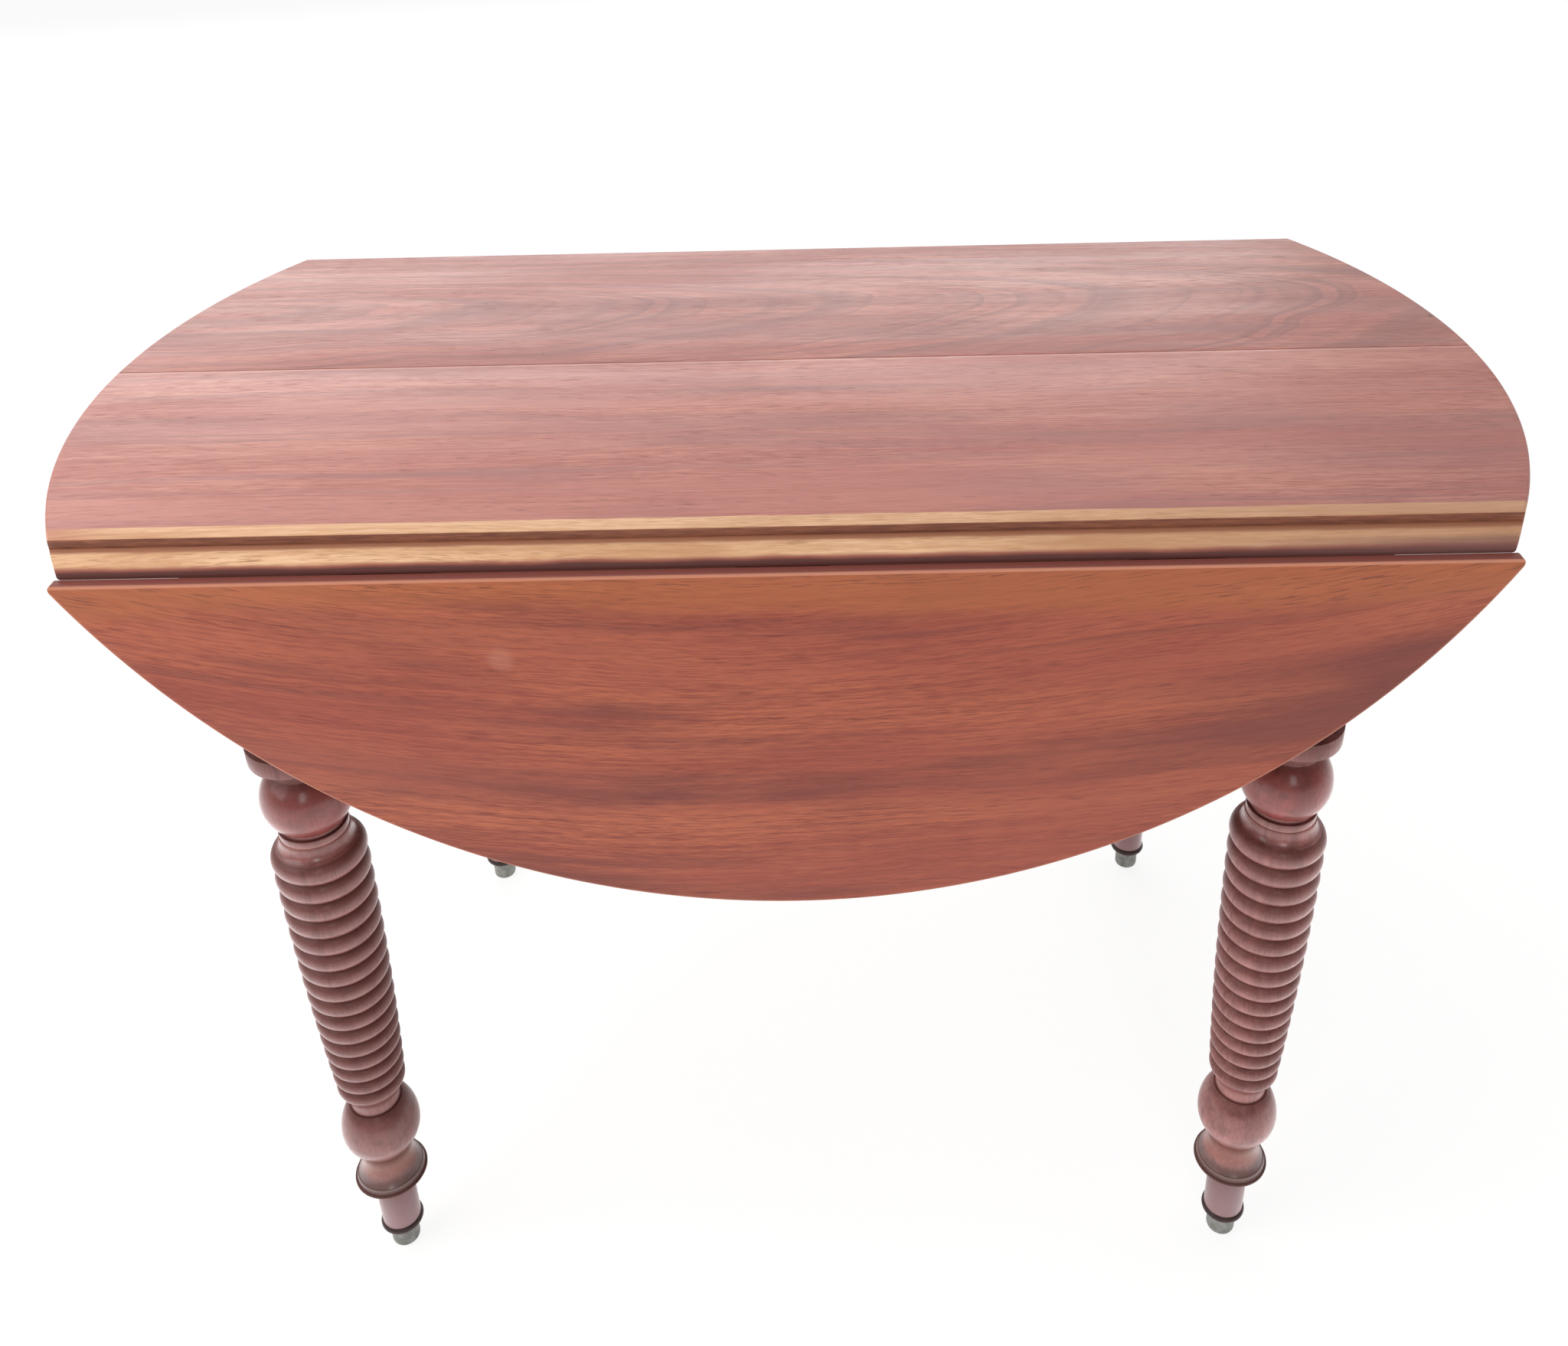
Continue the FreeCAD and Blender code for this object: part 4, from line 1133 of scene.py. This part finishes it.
def mark_wear_and_shade(outline, hollows):
    """Marks each point from 1 in a hollow to -1 on a rubbed arris; grime lies in the hollows, and painted
    shade on the slopes below them that look up and over the tops of the balls.
    """
    for point in outline.mesh.verts:
        height = point.co.z
        # Grime in the hollows, spreading down the up-facing slopes below them as painted shade
        dirt_and_shade = nearness(height, hollows, *DIRT_AND_SHADE_REACH)
        # Painted shade over the upper halves of both balls
        ball_top_shade = BALL_SHADE_SHARE * nearness(height, [LOWER_CROWN, UPPER_CROWN], *BALL_SHADE_REACH)
        rubbed = nearness(height, [COLUMN_HIGH, FILLET_LOW], *RUB_REACH)
        point[outline.wear] = max(dirt_and_shade, ball_top_shade) - rubbed


def draw_foot_and_bell(outline):
    """From the spigot in the ferrule over ankle and bell up to the neck; returns the hollows."""
    outline.line(SPIGOT, SPIGOT_LOW)
    outline.line(SPIGOT, FERRULE_HEIGHT)
    outline.line(ANKLE_RING_FOOT, FERRULE_HEIGHT)
    ring_middle = FERRULE_HEIGHT + ANKLE_RING_HEIGHT / 2
    outline.arc((ANKLE_RING, ring_middle), (ANKLE, FERRULE_HEIGHT + ANKLE_RING_HEIGHT), steps=10)
    outline.line(ANKLE, BELL_LOW)
    outline.line(BELL - BELL_EDGE, BELL_LOW)
    edge_top = BELL_LOW + 2 * BELL_EDGE
    outline.arc((BELL, BELL_LOW + BELL_EDGE), (BELL - BELL_EDGE, edge_top), steps=10)
    band_top = BELL_LOW + BELL_BAND_HEIGHT
    outline.line(BELL_BAND, band_top)
    outline.line(BELL_BAND - BELL_STEP, band_top)
    outline.bow(NECK, band_top + BELL_RISE, depth=-2, steps=14)
    outline.line(NECK, LOWER_BALL_LOW)
    return [FERRULE_HEIGHT, edge_top, LOWER_BALL_LOW]


def draw_lower_ball(outline):
    """A ball, its upper half a little drawn out, with a ledge under the collar; returns the hollow."""
    half_turn = math.acos(NECK / LOWER_BALL) / 2
    through = (LOWER_BALL * math.cos(half_turn), LOWER_BALL_MIDDLE - LOWER_BALL * math.sin(half_turn))
    outline.arc(through, (LOWER_BALL, LOWER_BALL_MIDDLE), steps=16)
    outline.swell(LOWER_BALL_TOP, LOWER_CROWN, steps=16)
    outline.line(LOWER_BALL_TOP - LOWER_BALL_LEDGE, LOWER_CROWN)
    return [LOWER_CROWN]


def draw_rings(outline):
    """The stacked rings from the lowest to the largest, with its arris; returns the hollows."""
    falls = [ring_fall(number / RING_COUNT) for number in range(RING_COUNT + 1)]
    edges = [COLUMN_HIGH - (COLUMN_HIGH - COLUMN_LOW) * fall for fall in falls]
    radii = [ring_radius(number / (RING_COUNT - 1)) for number in range(RING_COUNT)]
    outline.bow(radii[-1] - RING_DEPTH, COLUMN_LOW, depth=-2, steps=8)
    for number in reversed(range(1, RING_COUNT)):
        crest = (radii[number], (edges[number] + edges[number + 1]) / 2)
        valley = (radii[number] + radii[number - 1]) / 2 - RING_DEPTH
        outline.arc(crest, (valley, edges[number]), steps=14)
    crest_height = edges[1] + (edges[0] - edges[1]) * TOP_RING_CREST
    outline.arc((TOP_RING, crest_height), (TOP_RING_ARRIS, COLUMN_HIGH), steps=28)
    outline.line(TOP_RING_ARRIS - TOP_RING_LEDGE, COLUMN_HIGH)
    return edges


def draw_upper_ball_and_flange(outline):
    """Cove, fillet and groove, the upper ball, and the flange under the block; returns the hollows."""
    outline.bow(FILLET + FILLET_LIP, FILLET_LOW, depth=-1.8, steps=20)
    outline.line(FILLET, FILLET_LOW)
    outline.line(FILLET, FILLET_LOW + FILLET_HEIGHT)
    outline.line(GROOVE, FILLET_LOW + FILLET_HEIGHT)
    seat = COLUMN_HIGH + UNDER_BALL_RISE
    outline.line(GROOVE, seat)
    outline.line(BALL_SEAT, seat)
    middle = seat + half_height(UPPER_BALL, BALL_SEAT)
    crown = seat + BALL_HIGH
    outline.arc((UPPER_BALL, middle), (BALL_CROWN, crown), steps=36)
    outline.line(BALL_CROWN, crown + CROWN_NECK_RISE)
    near = FLANGE_EDGE * (1 - math.sqrt(0.5))
    flange_low = crown + FLANGE_RISE
    flange_top = flange_low + FLANGE_HEIGHT
    outline.bow(FLANGE - FLANGE_EDGE, flange_low, depth=-0.8, steps=8)
    outline.arc((FLANGE - near, flange_low + near), (FLANGE, flange_low + FLANGE_EDGE), steps=5)
    outline.line(FLANGE, flange_top)
    outline.line(CAP, flange_top)
    outline.bow(SHOULDER, flange_low + CAP_RISE, depth=-2, steps=8)
    outline.line(SHOULDER, BLOCK_LOW + SUNK_IN_BLOCK)
    outline.line(0, BLOCK_LOW + SUNK_IN_BLOCK)
    return [FILLET_LOW + GROOVE_MIDDLE, crown + JUST_OVER, flange_low + JUST_OVER, flange_top]


def leg_outline():
    """The turned leg from its spigot in the ferrule up to the block."""
    outline = Outline(0, SPIGOT_LOW)
    hollows = draw_foot_and_bell(outline)
    hollows += draw_lower_ball(outline)
    hollows += draw_rings(outline)
    hollows += draw_upper_ball_and_flange(outline)
    mark_wear_and_shade(outline, hollows)
    return outline


def ferrule_outline():
    """A cup of sheet metal with a rounded bottom edge."""
    near = FERRULE_BEND * (1 - math.sqrt(0.5))
    inside = FERRULE_RADIUS - FERRULE_WALL
    outline = Outline(0, 0)
    outline.line(FERRULE_RADIUS - FERRULE_BEND, 0)
    outline.arc((FERRULE_RADIUS - near, near), (FERRULE_RADIUS, FERRULE_BEND), steps=6)
    outline.line(FERRULE_RADIUS, FERRULE_HEIGHT)
    outline.line(inside, FERRULE_HEIGHT)
    outline.line(inside, FERRULE_FLOOR)
    outline.line(0, FERRULE_FLOOR)
    return outline


for corner_name, (right, back) in CORNERS.items():
    half = BLOCK / 2
    turned = turned_solid(leg_outline(), LEG_STEPS)
    square = block((-half, -half, BLOCK_LOW), (half, half, UNDERSIDE), BLOCK_EASE)
    leg = joined([turned, square])
    foot = turned_solid(ferrule_outline(), LEG_STEPS)
    for mesh in (leg, foot):
        move(mesh, (right * LEG_X, back * LEG_Y, 0))
    leg_name = f"leg_{corner_name}"
    foot_name = f"foot_ferrule_{corner_name}"
    finished(f"{leg_name}_turned", leg, "frame", "mahogany_leg", [leg_name])
    finished(f"{foot_name}_pressed", foot, "frame", "foot_metal", [foot_name])


# Pegs of the frame joints, their heads a little proud of the leg blocks

PEG_RADIUS = 4
PEG_LENGTH = 40
PEG_OFFSET = 22
PEG_HEIGHTS = (638, 678)
PEG_CROWN = 0.5
PEG_STEPS = 24


def peg(place, outward):
    """A peg driven in from place, its crowned head looking outward."""
    outline = Outline(0, -PEG_LENGTH)
    outline.line(PEG_RADIUS, -PEG_LENGTH)
    outline.line(PEG_RADIUS, 0)
    outline.arc((PEG_RADIUS * 0.5, PEG_CROWN * 0.75), (0, PEG_CROWN), steps=5)
    mesh = turned_solid(outline, PEG_STEPS)
    turn(mesh, Vector((0, 0, 1)).rotation_difference(Vector(outward)).to_matrix())
    move(mesh, place)
    return mesh


pegs = []
for right, back in CORNERS.values():
    for height in PEG_HEIGHTS:
        side_face = (right * (LEG_X + BLOCK / 2), back * (LEG_Y - PEG_OFFSET), height)
        end_face = (right * (LEG_X - PEG_OFFSET), back * (LEG_Y + BLOCK / 2), height)
        pegs.append(peg(side_face, (right, 0, 0)))
        pegs.append(peg(end_face, (0, back, 0)))
finished("joint_pegs_driven", joined(pegs), "frame", "frame_wood", ["joint_pegs"])


# Finishes for the construction's own pieces

for part in frame["record"]["subparts"]:
    node = frame["nodes"][part["node"]]
    slot = part["material_slot"]
    finish = SLOT_FINISHES[slot]
    if part["node"].startswith(CROSSWISE_PIECES):
        finish = CROSSWISE_FINISHES.get(slot, finish)
    node.data.materials.clear()
    node.data.materials.append(finish)


# Floor, light and camera

WHITE = (1, 1, 1)
FLOOR_HALF = 12
FLOOR_SEEN = (0.24, 0.24, 0.235)
FLOOR_AS_LIGHT = (0.88, 0.88, 0.88)
GLOW_SEEN = 0.84
GLOW_IN_OPEN = 0.88
GLOW_UNDER_TABLE = 0.30
TABLE_SHADE = (0.75, 0.55)


def floor_material():
    """Pale paper: the camera sees it near white, and as light it is dimmer under the table."""
    material, recipe = new_material("pale studio floor")[:2]
    nodes = material.node_tree.nodes
    nodes.remove(nodes["Principled BSDF"])
    rays = recipe.node("LightPath")
    seen = recipe.maths("MAXIMUM", rays["Is Camera Ray"], rays["Is Transmission Ray"])
    colour = recipe.blend(seen, FLOOR_AS_LIGHT, FLOOR_SEEN)
    paper = recipe.node("BsdfDiffuse", {"Color": colour})
    shaded = oval(recipe, recipe.place(), (0.0, 0.0), TABLE_SHADE)
    bounce = recipe.fade(shaded, 0.0, 0.8, GLOW_IN_OPEN, GLOW_UNDER_TABLE)
    strength = recipe.fade(seen, 0.0, 1.0, bounce, GLOW_SEEN)
    glow = recipe.node("Emission", {"Color": WHITE, "Strength": strength})
    floor = recipe.node("AddShader", {0: paper[0], 1: glow[0]})
    recipe.feed(nodes["Material Output"].inputs["Surface"], floor[0])
    return material


def make_floor():
    """The paper that the table stands on."""
    mesh = bmesh.new()
    bmesh.ops.create_grid(mesh, x_segments=1, y_segments=1, size=FLOOR_HALF)
    data = mesh_data("studio_floor", mesh)
    data.materials.append(floor_material())
    floor = new_object("studio_floor", data)


def make_world():
    """White for the camera; as light and in the polish, a room bright behind the table and dim in front."""
    world = bpy.data.worlds.new("white studio")
    bpy.context.scene.world = world
    world.use_nodes = True
    recipe = Recipe(world.node_tree)
    rays = recipe.node("LightPath")
    ahead = recipe.split(recipe.node("TexCoord")["Generated"])[1]
    room = recipe.fade(ahead, -0.5, 0.3, 0.25, 1.0)
    level = room * recipe.fade(rays["Is Glossy Ray"], 0.0, 1.0, 0.7, 1.0)
    level = recipe.fade(rays["Is Camera Ray"], 0.0, 1.0, level, 1.0)
    background = world.node_tree.nodes["Background"].inputs
    recipe.feed(background["Color"], WHITE)
    recipe.feed(background["Strength"], level)


# Lamps: place, width and height, and power; all look at the middle of the table
TABLE_MIDDLE = (0.0, 0.0, 0.55)
LAMPS = {
    "window_behind_camera": ((0.4, -4.2, 2.4), (1.0, 1.7), 28),
    "window_left": ((-1.7, -0.9, 1.5), (1.6, 1.2), 19),
    "window_rear": ((-1.2, 5.5, 2.35), (8.0, 1.5), 105),
    "ceiling_light": ((-0.7, -0.4, 3.2), (2.4, 2.4), 22),
}


def make_lamp(name, place, size, power):
    """A soft lamp that the camera does not see."""
    lamp = bpy.data.lights.new(name, "AREA")
    lamp.shape = "RECTANGLE"
    lamp.size, lamp.size_y = size
    lamp.energy = power
    holder = new_object(name, lamp)
    holder.location = place
    holder.rotation_euler = (Vector(TABLE_MIDDLE) - Vector(place)).to_track_quat("-Z", "Y").to_euler()
    holder.visible_camera = False


# The camera that was fitted to the photo: place in metres, turn in degrees, lens in millimetres
CAMERA_PLACE = (0.0371, -1.0732, 1.2080)
CAMERA_TURN = (63.692, 1.335, 0.09)
SENSOR_WIDTH = 36
LENS_LENGTH = 33.67
LENS_SHIFT = (-0.0234, -0.1558)


def make_camera():
    """The camera of the photo."""
    lens = bpy.data.cameras.new("photo_camera")
    lens.sensor_fit = "HORIZONTAL"
    lens.sensor_width = SENSOR_WIDTH
    lens.lens = LENS_LENGTH
    lens.shift_x, lens.shift_y = LENS_SHIFT
    camera = new_object("photo_camera", lens)
    camera.location = CAMERA_PLACE
    camera.rotation_euler = [math.radians(angle) for angle in CAMERA_TURN]
    bpy.context.scene.camera = camera


make_floor()
make_world()
for lamp_name, settings in LAMPS.items():
    make_lamp(lamp_name, *settings)
make_camera()
bpy.context.scene.view_settings.view_transform = "Standard"
